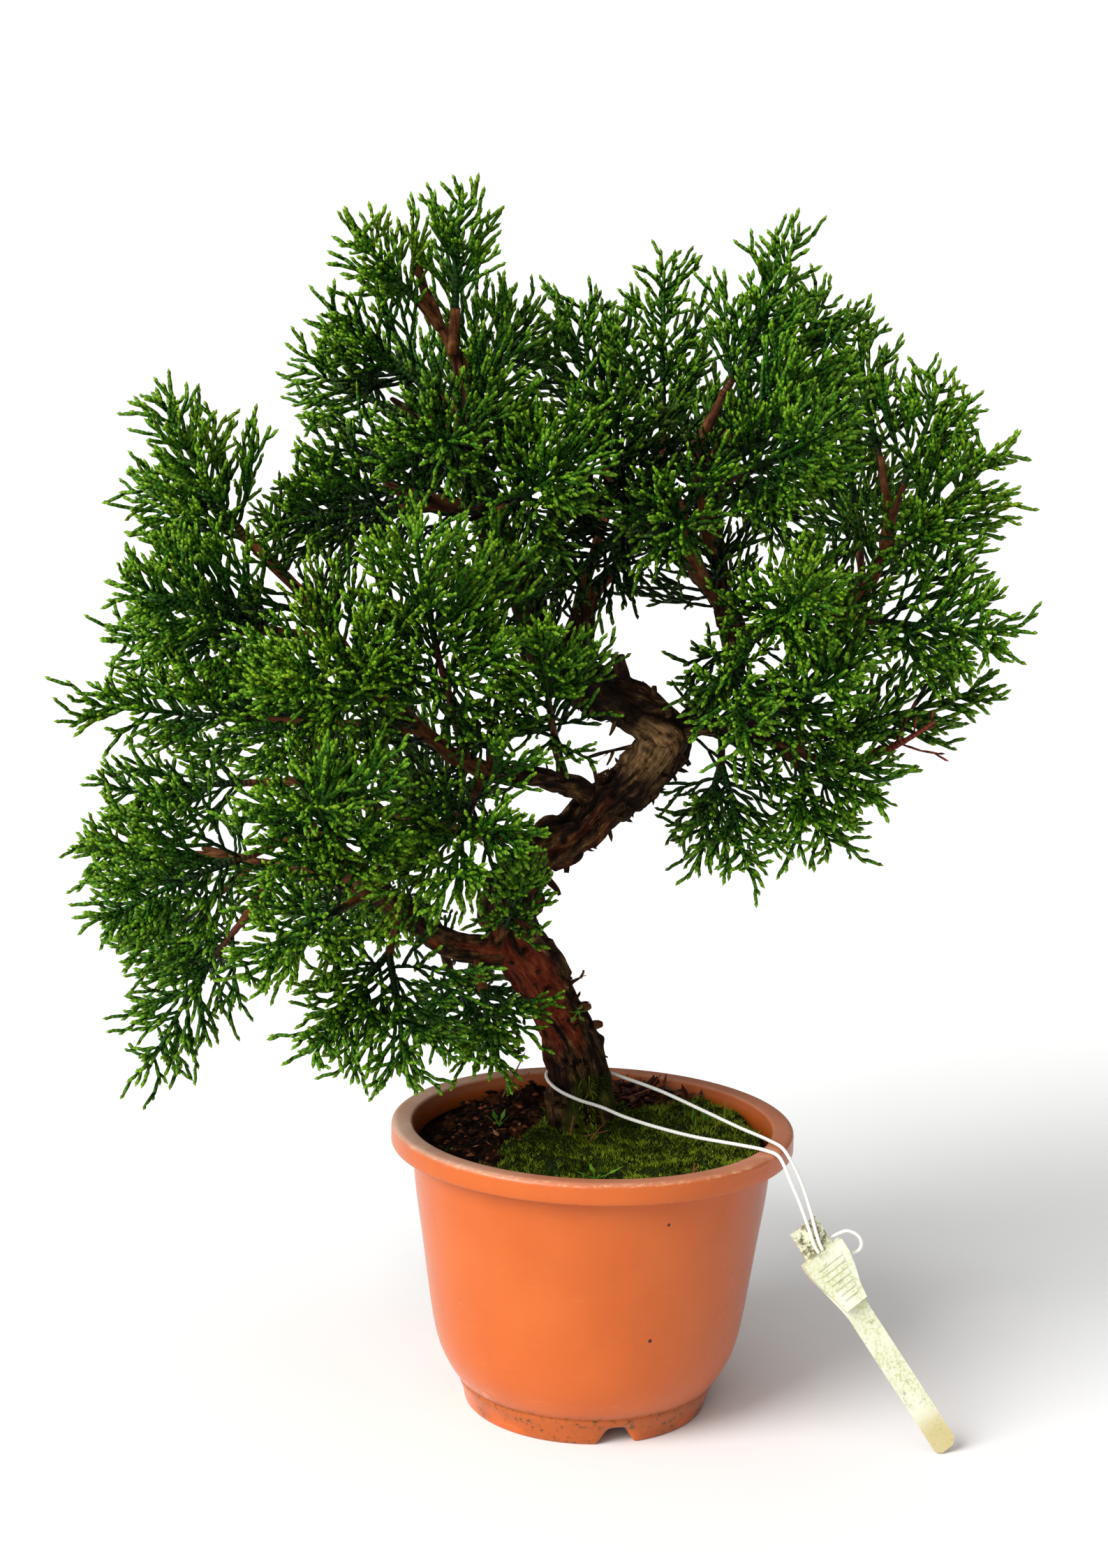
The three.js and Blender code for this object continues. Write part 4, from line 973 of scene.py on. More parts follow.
def pot_marks(spots, inside):
    """Dirt in the crease and on the foot, a painted shadow under the band, pale scratches and a painted
    highlight on the rim's edge, dust on the edges, and painted shade inside.
    """
    z, r = spots[:, 2], np.hypot(spots[:, 0], spots[:, 1])
    foot = smoothstep(16, 6, z) * (r > 43) * smoothstep(-0.5, 0.4, noise(spots, 9, 3))
    crease = stripe(z, CREASE_HEIGHT, 1.5) * (r < 52) * 0.9
    # A painted shadow just under the rim band
    painted_band_shadow = stripe(z, POT_HEIGHT - RIM_BAND - 0.2, 0.8) * (r > 67) * 0.35
    scratched = stripe(z, CREASE_HEIGHT + 3.1, 2.4) * (r < 54) * smoothstep(0, 0.4, noise(spots, 12, 4))
    # A painted highlight along the rim's outer top edge
    painted_rim_glint = 0.8 * stripe(z, POT_HEIGHT - 0.7, 0.5) * (r > 73.2)
    dust = smoothstep(106.2, 107.6, z) * (r > 66) + smoothstep(103, 107, z) * inside * 0.5
    dry = 0.4 + 0.75 * smoothstep(-5, -68, spots[:, 0])
    return {
        "grime_and_shade": np.clip(crease + foot + painted_band_shadow, 0, 1),
        "chalk_and_glint": scratched + painted_rim_glint,
        "dust": np.clip(dust, 0, 1) * dry,
        # Painted shade down the inside wall, growing from the rim downwards
        "inside_shade": inside * smoothstep(105, 95, z) * 0.85,
    }


def cut_drains(made):
    """Three round holes through the pot's floor."""
    cutters = []
    for turn in np.radians(NOTCH_DEGREES):
        place = world((DRAIN_RING * math.cos(turn), DRAIN_RING * math.sin(turn), FLOOR_TOP))
        bpy.ops.mesh.primitive_cylinder_add(
            vertices=40, radius=DRAIN_RADIUS / 1000, depth=DRAIN_CUT / 1000, location=tuple(place))
        cutters.append(bpy.context.object)
    for cutter in cutters:
        modifier = made.modifiers.new("drain", "BOOLEAN")
        modifier.object = cutter
        modifier.operation = "DIFFERENCE"
        modifier.solver = "EXACT"
        bpy.context.view_layer.objects.active = made
        bpy.ops.object.modifier_apply(modifier=modifier.name)
        bpy.data.objects.remove(cutter)


# Soil, moss and what grows on it

def litter_heap(x, y):
    """How much higher the litter lies where it is heaped up behind the moss and at the left."""
    behind = smoothstep(36, 52, y) * smoothstep(-4, 14, x) * smoothstep(62, 50, x)
    left = smoothstep(10, 50, y) * smoothstep(4, -14, x) * smoothstep(-62, -48, x)
    clod = np.exp(-((x - CLOD_PLACE[0]) ** 2 + (y - CLOD_PLACE[1]) ** 2) / 22)
    return HEAP_BEHIND * behind + HEAP_LEFT * left + CLOD_HEIGHT * clod


def from_trunk(x, y):
    return np.hypot(x - TRUNK_FOOT[0], y - TRUNK_FOOT[1])


def soil_top(x, y):
    rough = np.sin(x * 0.31 + 1) * np.cos(y * 0.27) + 0.6 * np.sin(x * 0.13 - y * 0.19)
    return SOIL_LEVEL + 2.4 * np.exp(-from_trunk(x, y) / 22) + 0.7 * rough


def moss_top(x, y, edge):
    """The carpet's upper side: cushions on cushions, thinned out towards its edge."""
    places = flat(x, y)
    waves = 1.6 * np.sin(x * 0.16 + 0.6) * np.sin(y * 0.2 - 0.4) + np.maximum(0, x) * 0.012
    cushions = noise(places, 5.5, 10) * 1.5 + cushion_noise(places) * 0.6
    return soil_top(x, y) - MOSS_SUNK + (MOSS_DEEP + 2 + waves + cushions) * edge


def cushion_noise(places):
    return noise(places, 2.1, 11)


def inside_moss(x, y):
    """How far places lie inside the moss's ragged edge, negative outside."""
    return inside_edge(x, y, MOSS_EDGE) + noise(flat(x, y), 7, 8) * 3


def clear_of_trunk(x, y):
    """How far places lie from the trunk's middle, give or take a ragged edge."""
    return from_trunk(x, y) + noise(flat(x, y), 5, 9) * 3


def inside_edge(x, y, edge):
    """How far places lie inside a closed outline, negative outside."""
    spots = np.stack([x, y], -1)
    corners = np.array(edge, float)
    after = np.roll(corners, -1, 0)
    nearest = np.full(x.shape, 1e9)
    crossings = np.zeros(x.shape, int)
    for a, b in zip(corners, after):
        share = np.clip(((spots - a) @ (b - a)) / ((b - a) @ (b - a)), 0, 1)
        nearest = np.minimum(nearest, np.linalg.norm(spots - a - share[..., None] * (b - a), axis=-1))
        slope = (b[0] - a[0]) / (b[1] - a[1]) if b[1] != a[1] else 0
        crossings += ((a[1] > y) != (b[1] > y)) & (x < slope * (y - a[1]) + a[0])
    return np.where(crossings % 2 == 1, nearest, -nearest)


def grains(places, seed):
    """Small lumps of loose soil: a few sizes of noise on top of each other."""
    flat = places * np.array([1, 1, 0.0])
    clods = noise(flat, 6.5, seed + 3) * 1.3 + noise(flat, 3.2, seed) * 1.1
    return clods + noise(flat, 1.5, seed + 1) * 0.6 + noise(flat, 0.8, seed + 2) * 0.3


def disc(radius, rings, sides):
    """Rows of places on a flat disc, from its edge inwards, without the middle one."""
    reach = np.linspace(1, 0, rings, endpoint=False)[:, None] * radius
    turn = turns_round(sides)
    return reach * np.cos(turn), reach * np.sin(turn)


def make_bed(name, material, node, rows, low, high):
    """A closed bed from rows of rings, with its two middle places at the heights low and high."""
    body = Body()
    middles = [(0, 0, low), (0, 0, high)]
    body.add(np.concatenate([rows.reshape(-1, 3), middles]), closed_rings(*rows.shape[:2]))
    body.piece(name, material, [node])


def make_soil():
    sides = 240
    x, y = disc(SOIL_RADIUS, 64, sides)
    top = flat(x, y)
    lumps = (grains(top, GRAIN_SEED) + litter_heap(x, y)) * smoothstep(0, 5, SOIL_RADIUS - np.hypot(x, y))
    top[..., 2] = soil_top(x, y) + lumps
    turn = turns_round(sides)
    walls = [np.stack([r * np.cos(turn), r * np.sin(turn), z + 0 * turn], -1) for r, z in wall_inside(0.5)]
    rows = np.concatenate([walls[::-1], top])
    make_bed("soil_bed", soil_material(), "soil", rows, FLOOR_TOP + 0.3, SOIL_LEVEL + 1)


def make_moss():
    """The moss carpet: a closed sheet over the soil that thins to nothing at its wavy edge."""
    x, y = disc(MOSS_RADIUS, 60, 200)
    edge = smoothstep(-1, 9, inside_moss(x, y)) * smoothstep(9, 17, clear_of_trunk(x, y))
    top = flat(x, y)
    top[..., 2] = moss_top(x, y, edge) + noise(flat(x, y), 1.0, 12) * 0.2 * edge
    low = SOIL_LEVEL - 6
    rows = np.concatenate([top[:1] * [1, 1, 0] + [0, 0, low], top])
    make_bed("moss_carpet", moss_material(), "moss", rows, low, soil_top(0, 0) - 2)


def climbing_tufts(draw):
    """Moss that has climbed the right side of the trunk's foot, as the foot and tip of each tiny leaf."""
    height = 98 + 26 * draw.uniform(0, 1, CLIMBING_COUNT) ** 1.7
    low_shares = np.linspace(0, 0.2, 60)
    share = np.interp(height, CURVES["trunk"].at(low_shares)[:, 2], low_shares)
    turn = np.radians(draw.normal(-22, 30, CLIMBING_COUNT))
    out = flat(np.cos(turn), np.sin(turn))
    foot = CURVES["trunk"].at(share) + out * (trunk_radius(share)[:, None] + 0.5)
    way = out + draw.normal(0, 0.5, (CLIMBING_COUNT, 3)) + [0, 0, -0.3]
    return foot, foot + way * draw.uniform(1, 2.6, CLIMBING_COUNT)[:, None]


def make_tufts(material):
    """Thousands of tiny pointed moss leaves that stand on the carpet."""
    draw = np.random.default_rng(21)
    x, y = draw.uniform(-MOSS_RADIUS, MOSS_RADIUS, (2, TUFT_COUNT))
    inside = inside_moss(x, y)
    keep = (inside > 1.5) & (np.hypot(x, y) < MOSS_RADIUS - 0.6) & (clear_of_trunk(x, y) > 12)
    keep = keep & ~(noise(flat(x, y), 6, 14) > 0.42)
    x, y, edge = x[keep], y[keep], smoothstep(-1, 9, inside[keep])
    lean = draw.normal(0, 0.5, (len(x), 2))
    tall = draw.uniform(0.8, 2, len(x)) * (0.6 + 0.4 * edge) * (1 + 0.7 * cushion_noise(flat(x, y)))
    foot = np.stack([x, y, moss_top(x, y, edge) - 0.3], -1)
    tip = foot + np.stack([lean[:, 0] * tall, lean[:, 1] * tall, tall], -1)
    foot, tip = (np.concatenate(pair) for pair in zip((foot, tip), climbing_tufts(draw)))
    count = len(foot)
    turn = draw.uniform(0, math.tau, count)[:, None] + turns_round(3)
    wide = draw.uniform(0.2, 0.38, count)[:, None]
    ring = foot[:, None] + flat(np.cos(turn) * wide, np.sin(turn) * wide)
    first = np.arange(count)[:, None] * 4
    rows = np.concatenate([first + corners for corners in ([0, 1, 3], [1, 2, 3], [2, 0, 3], [0, 2, 1])])
    places = foot * [1, 1, 0]
    patches = 0.3 * noise(places, 8, 13) + 0.55 * cushion_noise(places) + 0.3 * noise(places, 1.1, 16)
    # The tone rises from cushion to cushion, and towards the right as painted light
    bright = np.clip(0.42 + patches + foot[:, 0] * 0.006, 0, 0.95)
    tone = bright[:, None] + draw.uniform(-0.24, 0.24, count)[:, None] + [0, 0.02, 0.04, 0.02]
    age = np.tile([0.05, 0.05, 0.05, 0.95], (count, 1))
    body = Body()
    spots = np.concatenate([ring, tip[:, None]], 1)
    body.add(spots, [rows], np.stack([age, np.clip(tone, 0, 1)], -1))
    body.piece("moss_tufts", material)


def make_grains(material):
    """Loose grains and bits of bark on the bare soil."""
    draw = np.random.default_rng(22)
    x, y = draw.uniform(-SOIL_RADIUS, SOIL_RADIUS, (2, GRAIN_COUNT))
    keep = (inside_moss(x, y) < draw.uniform(-2, 9, GRAIN_COUNT)) & (np.hypot(x, y) < SOIL_RADIUS - 2)
    x, y = x[keep], y[keep]
    count = len(x)
    size = draw.uniform(0.5, 1.0, count) ** 2 * 1.8
    spin = draw.uniform(0, math.tau, count)[:, None]
    wild = GRAIN_CORNERS * draw.uniform(0.6, 1.25, (count, 8, 1)) * size[:, None, None]
    turned = np.stack([
        wild[..., 0] * np.cos(spin) - wild[..., 1] * np.sin(spin),
        wild[..., 0] * np.sin(spin) + wild[..., 1] * np.cos(spin), wild[..., 2] * 0.7], -1)
    lift = grains(flat(x, y), GRAIN_SEED) * 0.9 + size * 0.25
    foot = np.stack([x, y, soil_top(x, y) + litter_heap(x, y) + lift], -1)
    first = np.arange(count)[:, None] * 8
    rows = [first + [i, (i + 1) % 6, 6] for i in range(6)] + [first + [(i + 1) % 6, i, 7] for i in range(6)]
    tone = draw.uniform(0, 0.95, count)[:, None] + np.arange(8) * 0.005
    age = draw.uniform(0, 1, (count, 8))
    body = Body()
    body.add(foot[:, None] + turned, [np.concatenate(rows)], np.stack([age, np.clip(tone, 0, 1)], -1))
    body.piece("soil_grains", material, smooth=False)


def add_blade(body, foot, tip, width, tone):
    """A pointed leaf or flake: widest near its middle, with a low ridge above and below."""
    foot, tip = np.asarray(foot, float), np.asarray(tip, float)
    ahead = unit(tip - foot)
    side = unit(np.cross(ahead, UP) + 1e-6)
    ridge = np.cross(side, ahead) * width * 0.22
    middle = lerp(foot, tip, 0.42)
    spots = [foot, middle + side * width, middle + ridge, middle - side * width, middle - ridge, tip]
    rows = [[0, 2, 1], [0, 3, 2], [0, 4, 3], [0, 1, 4], [5, 1, 2], [5, 2, 3], [5, 3, 4], [5, 4, 1]]
    body.add(spots, [rows], np.stack([np.full(6, 0.5), tone + np.arange(6) * 0.004], -1))


def add_straw(body, start, end, radius, tone):
    rings, sides = 7, 5
    line = Line(np.linspace(start, end, 12))
    share = np.linspace(0, 1, rings)
    sway = noise(line.at(share), 6, 17)[:, None] * [0.6, 0.6, 0.3] * np.sin(share * math.pi)[:, None]
    uv = np.tile([0.5, tone], (rings * sides + 2, 1))
    tube(body, line.at(share) + sway, lerp(radius, radius * 0.4, share), sides, uv=uv)


def litter_top(x, y):
    return soil_top(x, y) + litter_heap(x, y)


def make_litter(material):
    """Seedlings, straws, broken bark behind the moss, and short green stalks at its right end."""
    draw = np.random.default_rng(23)
    body = Body()
    for foot, green, tips in SEEDLINGS:
        for tip in tips:
            add_straw(body, foot, lerp(np.array(foot), np.array(tip), 0.35), 0.45, 0.85)
            add_blade(body, lerp(np.array(foot), np.array(tip), 0.3), tip, 1.25, green)
    for start, end, radius in STRAWS:
        add_straw(body, start, end, radius, 0.4)
    for _ in range(BROKEN_BARK_COUNT):
        x, y = draw.uniform(-2, 56), draw.uniform(38, 61)
        if math.hypot(x, y) < 62:
            low = np.array([x, y, litter_top(x, y) + draw.uniform(-0.5, 2)])
            reach = unit(draw.normal(0, 1, 3) * [1, 1, 0.5]) * draw.uniform(3, 8)
            add_blade(body, low, low + reach, draw.uniform(0.8, 2.2), draw.uniform(0, 0.36))
    for _ in range(LEFT_BARK_COUNT):
        turn, reach = draw.uniform(1.7, 3.9), draw.uniform(22, 60)
        x, y = reach * math.cos(turn), reach * math.sin(turn)
        low = np.array([x, y, litter_top(x, y) + 0.6])
        heading = unit(draw.normal(0, 1, 3) * [1, 1, 0.35])
        tip = low + heading * draw.uniform(2, 6)
        add_blade(body, low, tip, draw.uniform(0.5, 1.2), draw.uniform(0, 0.45))
    for _ in range(STALK_COUNT):
        x, y = draw.uniform(30, 58), draw.uniform(16, 50)
        if math.hypot(x, y) < 60:
            low = np.array([x, y, soil_top(x, y) + 2])
            tip = low + [draw.normal(0, 0.8), draw.normal(0, 0.8), draw.uniform(4, 9)]
            add_blade(body, low, tip, draw.uniform(0.35, 0.6), draw.choice([0.1, 0.68, 0.78, 0.9]))
    body.piece("litter", material, smooth=False)


# The bare wood

CURVES = {"trunk": Line.through([p[:3] for p in TRUNK])}
CURVES.update({name: Line.through(limb[2]) for name, limb in LIMBS.items()})


def trunk_radius(share):
    return np.interp(CURVES["trunk"].knot(share), np.arange(len(TRUNK)), [p[3] for p in TRUNK])


def limb_radius(name, share):
    return trunk_radius(share) if name == "trunk" else lerp(LIMBS[name][0], LIMBS[name][1], share)


def root_of(spray):
    """Where a spray's twig leaves its limb, where its green part starts, and the way it heads."""
    limb, share, tips = spray
    start = CURVES[limb].at(share)
    middle = np.mean([tip[:3] for tip in tips], axis=0)
    out = unit(middle - start)
    root = lerp(start, middle, TWIG_SHARE) + out * limb_radius(limb, share)
    return start, root, out


def grown_tube(body, line, radius_at, sides, step, rough, seed):
    """A stem with fluted sides, fibres that wind along it, cracks, and plates of bark that stand off it."""
    rings = max(3, int(line.length / step))
    shares = np.linspace(0, 1, rings + 1)
    radius = radius_at(shares)[:, None]
    along = (shares * line.length)[:, None]
    turn = turns_round(sides)[None]
    wound = turn + along * WINDING
    grain = np.stack([radius * np.cos(wound), radius * np.sin(wound), along + 0 * turn], -1) + seed * 31.7

    def bark_noise(stretch, size, more):
        """Noise that is drawn out along the grain."""
        return noise(grain * [1, 1, stretch], size, seed + more)

    centres = line.at(shares)
    first, second = frames_along(unit(np.gradient(centres, axis=0)))
    out = around(first[:, None], second[:, None], turn)
    surface = centres[:, None] + out * radius[..., None]
    live, mossy = vein_marks(centres, out, wound, along, radius)
    flutes = np.sin(wound * 2 + noise(grain * [0, 0, 1], 40, seed) * 2) * 0.06
    flutes = flutes + np.sin(wound * 3 + along * 0.03 + seed) * 0.055
    fibres = 0.5 - np.abs(bark_noise(0.13, 2.6, 0)) + bark_noise(0.22, 0.9, 1) * 0.35
    cracks = smoothstep(0.17, 0.0, np.abs(bark_noise(0.2, 4.6, 4)))
    plates = smoothstep(0.02, 0.16, bark_noise(0.3, 4.4, 2))
    lumps = bark_noise(0.7, 9, 3) * 1.7 + bark_noise(0.8, 4.2, 5) * 1.1
    bark = fibres * 0.8 + plates * 1.4 - cracks * 1.8
    knots = knot_marks(surface)
    # Where the elbow is pale from wear and a painted pool of light
    worn = worn_and_lit_mark(surface, grain)
    rise = radius * flutes + (bark * (1 - live * 0.8) - live * 0.3 + lumps) * rough
    rise = rise + (knots > 0) * np.sin(knots * math.pi) * 1.3 - smoothstep(0.6, 1, knots) * 1.6
    # Painted shade on the thick wood above the elbow, added to the crack mark
    upper = 0.75 * smoothstep(254, 268, centres[:, 2:]) * (radius > 4)
    from_elbow = np.linalg.norm(centres - np.array(WORN_AND_LIT_PLACE), axis=1)[:, None]
    twig = 0.7 * smoothstep(3.8, 2.8, radius) * smoothstep(45, 75, from_elbow) + 0 * turn
    groove = (cracks + (1 - plates) * 0.35) * (1 - live * 0.75) * (1 - worn * 0.45) + upper
    groove = np.clip(np.maximum(groove, smoothstep(0.35, 0.75, knots)), 0, 1)
    marks = {"grain": np.concatenate([grain.reshape(-1, 3), grain[0, :1], grain[-1, :1]])}
    for name, mark in zip(BARK_MARKS, (live, mossy, groove, worn, twig)):
        marks[name] = np.concatenate([mark.ravel(), [0, 0]])
    tube(body, centres, radius, sides, rise, marks)


def knot_marks(places):
    """1 in the middle of a knot, falling to 0 at its edge."""
    nearest = np.zeros(places.shape[:2])
    for x, y, z, size in KNOTS:
        away = np.linalg.norm((places - [x, y, z]) * [1, 0.6, 1], axis=-1)
        nearest = np.maximum(nearest, 1 - away / (size * 1.5))
    return np.clip(nearest, 0, 1)


def worn_and_lit_mark(places, grain):
    """1 on the elbow's pale wood, from wear and a painted pool of light, falling to 0 around it."""
    away = np.linalg.norm((places - np.array(WORN_AND_LIT_PLACE)) * [1, 0.8, 0.8], axis=-1)
    ragged = noise(grain * [1, 1, 0.4], 7, 41) * 5
    return smoothstep(WORN_AND_LIT_REACH, WORN_AND_LIT_REACH * 0.45, away + ragged)


def vein_marks(centres, out, wound, along, radius):
    """Bare live wood, red-brown on the lower front, and moss that has climbed the trunk's foot."""
    height = centres[:, 2][:, None] + 0 * wound
    strip_places = np.stack([wound * 3 + 0 * along, along * 0.05 + 0 * wound, 0 * wound * along], -1)
    streaks = noise(strip_places, 1.0, 6)
    front = smoothstep(0.1, 0.5, out @ np.array([-0.6, -0.8, 0]) + streaks * 0.3)
    patch = front * smoothstep(128, 142, height) * smoothstep(187, 178, height)
    patch = patch * smoothstep(-0.5, -0.2, streaks)
    strips = 0.35 * smoothstep(0.5, 0.66, streaks) * smoothstep(290, 250, height)
    live = np.maximum(patch, strips) * (radius > 4) * smoothstep(110, 118, height)
    damp = smoothstep(-0.2, 0.6, out @ np.array([0.8, -0.6, 0]))
    mossy = smoothstep(132, 104, height) * damp * smoothstep(-0.3, 0.3, streaks * -1)
    return live, mossy * 0.8


def add_scraps(body):
    """Scraps of bark that curl off the trunk, and the bases of twigs that broke off: closed flakes."""
    draw = np.random.default_rng(31)
    line = CURVES["trunk"]
    share = draw.uniform(0.04, 0.66, SCRAP_COUNT)
    turn = draw.uniform(0, math.tau, SCRAP_COUNT)
    ahead = line.ahead(share)
    out = around(*sides_of(ahead), turn)
    size = draw.uniform(0.6, 1.0, SCRAP_COUNT)[:, None] ** 2
    foot = line.at(share) + out * (trunk_radius(share)[:, None] - 0.6)
    lean = draw.uniform(-1, 1, SCRAP_COUNT)[:, None]
    tip = foot + out * size * 4.2 + ahead * lean * size * 3.8
    middle = lerp(foot, tip, 0.55) + out * size * 0.5
    wide, thick = np.cross(ahead, out) * size * 1.3, ahead * size * 1.1
    rows = [foot + wide, foot + thick, foot - wide, foot - thick]
    rows += [middle + wide * 0.8, middle + thick * 0.7, middle - wide * 0.6, middle - thick * 0.7, tip]
    spots = np.stack(rows, 1)
    number = np.arange(SCRAP_COUNT)[:, None] * len(rows)
    marks = {name: np.zeros(number.size * len(rows)) for name in BARK_MARKS}
    marks["groove"] += 0.35
    faces = [np.concatenate([number + face for face in SCRAP_FACES])]
    body.add(spots, faces, grain=spots.reshape(-1, 3) * [1, 1, 3], **marks)


def tapered(start, end):
    """A radius that narrows evenly from start to end."""
    return lambda share: lerp(start, end, share)


def make_wood():
    body = Body()
    grown_tube(body, CURVES["trunk"], trunk_radius, 84, 0.85, 1.0, 1)
    add_scraps(body)
    for number, (start, end, radius) in enumerate(TEETH + DEAD_TWIGS):
        start, end = np.array(start), np.array(end)
        line = Line.bow(start, lerp(start, end, 0.6) + [0.7, 0, 0.7], end)
        grown_tube(body, line, tapered(radius, radius * 0.38), 8, 1.0, 0.3, number + 90)
    for number, (name, (thick, thin, _)) in enumerate(LIMBS.items()):
        grown_tube(body, CURVES[name], tapered(thick, thin), 16 if thick < 4 else 24, 1.5, 0.5, number + 2)
    for number, (start, end, radius) in enumerate(STUBS):
        narrowed = radius * (0.8 if number == 0 else 0.35)
        line = Line(np.linspace(start, end, 20))
        grown_tube(body, line, tapered(radius, narrowed), 18, 0.9, 0.6, number + 20)
    for number, spray in enumerate(SPRAYS.values()):
        start, root, heading = root_of(spray)
        line = Line(np.linspace(start, root + heading * 1.5, 20))
        radii = tapered(AXIS_ROOT_RADIUS * 1.15, AXIS_ROOT_RADIUS)
        grown_tube(body, line, radii, 10, 1.6, 0.25, number + 30)
    body.piece("bark", bark_material(), ["wood"])


# The foliage

class Shoots:
    """Many bowed shoots at once: start, bend and end places, and a number for each."""

    def __init__(self, start, bend, end, radius, tone):
        self.start, self.bend, self.end = start, bend, end
        self.radius, self.tone = radius, tone
        chord = np.linalg.norm(end - start, axis=1)
        legs = np.linalg.norm(bend - start, axis=1) + np.linalg.norm(end - bend, axis=1)
        self.length = (2 * chord + legs) / 3

    def pick(self, which):
        return Shoots(*(part[which] for part in (self.start, self.bend, self.end, self.radius, self.tone)))

    def spread(self, t):
        """The three places of every shoot, shaped for one share each or for a row of shares each."""
        return (part if t.ndim == 1 else part[:, None] for part in (self.start, self.bend, self.end))

    def at(self, t):
        start, bend, end = self.spread(t)
        t = t[..., None]
        return (1 - t) ** 2 * start + 2 * t * (1 - t) * bend + t ** 2 * end

    def ahead(self, t):
        start, bend, end = self.spread(t)
        t = t[..., None]
        return unit((1 - t) * (bend - start) + t * (end - bend))


def bowed(start, out, ahead, length, radius, tone, wide, long):
    """Shoots that leave sideways and turn ahead, and lift a little at their ends."""
    length = length[:, None]
    bend = start + out * length * (wide * 0.59) + ahead * length * (long * 0.44)
    end = start + out * length * wide + ahead * length * long + UP * length * 0.05
    return Shoots(start, bend, end, radius, tone)


def forked(parents, gap, first, last, size, least, draw):
    """Side shoots along the parents, in pairs that turn about them; shorter ones towards the end."""
    parents = parents.pick(parents.length > least)
    count = np.maximum(1, np.round(parents.length * (last - first) / gap)).astype(int)
    owner = np.repeat(np.arange(len(count)), count)
    order = np.arange(len(owner)) - np.repeat(np.cumsum(count) - count, count)
    share = first + (last - first) * (order + 0.5 + draw.uniform(-0.3, 0.3, len(owner))) / count[owner]
    share = np.clip(share, 0.05, 0.97)
    held = parents.pick(owner)
    ahead = held.ahead(share)
    base = draw.uniform(0, math.tau, len(count))[owner]
    turn = base + order * math.pi + (order // 2) * 0.6 + draw.normal(0, 0.28, len(owner))
    out = around(*sides_of(ahead), turn)
    length = held.length * size * (1.2 - 0.85 * share) * draw.uniform(0.75, 1.25, len(owner))
    length = np.maximum(length, draw.uniform(*LEAST_SHOOT, len(owner)))
    start = held.at(share)
    tone = np.clip(held.tone + draw.normal(0, 0.07, len(owner)), 0, TONE_TOP)
    return bowed(start, out, ahead, length, held.radius * 0.96, tone, 0.42, 0.88)


def plume_axis(root, tip):
    tip = np.asarray(tip, float)
    middle = lerp(root, tip, 0.5)
    middle[2] -= 0.14 * (tip[2] - root[2])
    return Line.bow(root, middle, tip)


def model_draw(spray, branchlet, purpose):
    """The same repeatable draw from 0 to 1 as the solid model's shoots use."""
    wave = math.sin(spray * 127.1 + branchlet * 311.7 + purpose * 74.7) * 43758.5453
    return wave - math.floor(wave)


def main_shoots(axis, width, number, tone, draw):
    """The plume's main side shoots stand where the model has them, with smaller ones between."""
    count = round(axis.length / STATION_STEP)
    rows = []

    def share_of(station):
        return (station + 0.55) / (count + 0.25)

    def reach_at(share):
        return width * SHOOT_REACH * (1.25 - 0.95 * share)

    for k in range(count):
        for face in range(3):
            turn = k * STATION_TURN + math.radians(60 + 120 * face)
            length = reach_at(share_of(k)) * (0.8 + 0.4 * model_draw(number, k, face))
            rows.append((share_of(k), turn, length if face == k % 3 else length * 0.7))
        for between in (0.2, 0.4, 0.6, 0.8):
            share = share_of(k + between)
            length = reach_at(share) * draw.uniform(0.5, 0.95)
            rows.append((min(share, 0.985), draw.uniform(0, math.tau), length))
    share, turn, length = np.array(rows).T
    length = np.minimum(length, ((1 - share) * axis.length + PLUME_POINT) / 0.7)
    ahead = axis.ahead(share)
    out = around(*sides_of(ahead), turn)
    tones = np.clip(tone + draw.normal(0, 0.08, len(share)), 0, TONE_TOP)
    radius = np.full(len(share), SHOOT_RADIUS * 1.15)
    return bowed(axis.at(share) + out * 0.3, out, ahead, length, radius, tones, 0.7, 0.7)


def off_the_pot(shoots):
    ends = shoots.end
    return (ends[:, 2] > POT_HEIGHT + 4) | (np.hypot(ends[:, 0], ends[:, 1]) > RIM_RADIUS + 5)


def in_the_heart(places):
    """1 in the crown's heart, where shade is painted, falling to 0 at its outside."""
    away = np.linalg.norm((places - np.array(HEART_PLACE)) / HEART_REACH, axis=-1)
    return smoothstep(1.05, 0.4, away)


def shaded(shoots):
    """The shoots that keep off the pot, with painted shade: a darker tone where they stand inside the crown.
    """
    shoots = shoots.pick(off_the_pot(shoots))
    heart = in_the_heart(lerp(shoots.start, shoots.end, 0.6))
    shoots.tone = np.clip(shoots.tone - 0.5 * heart, 0, TONE_TOP)
    return shoots


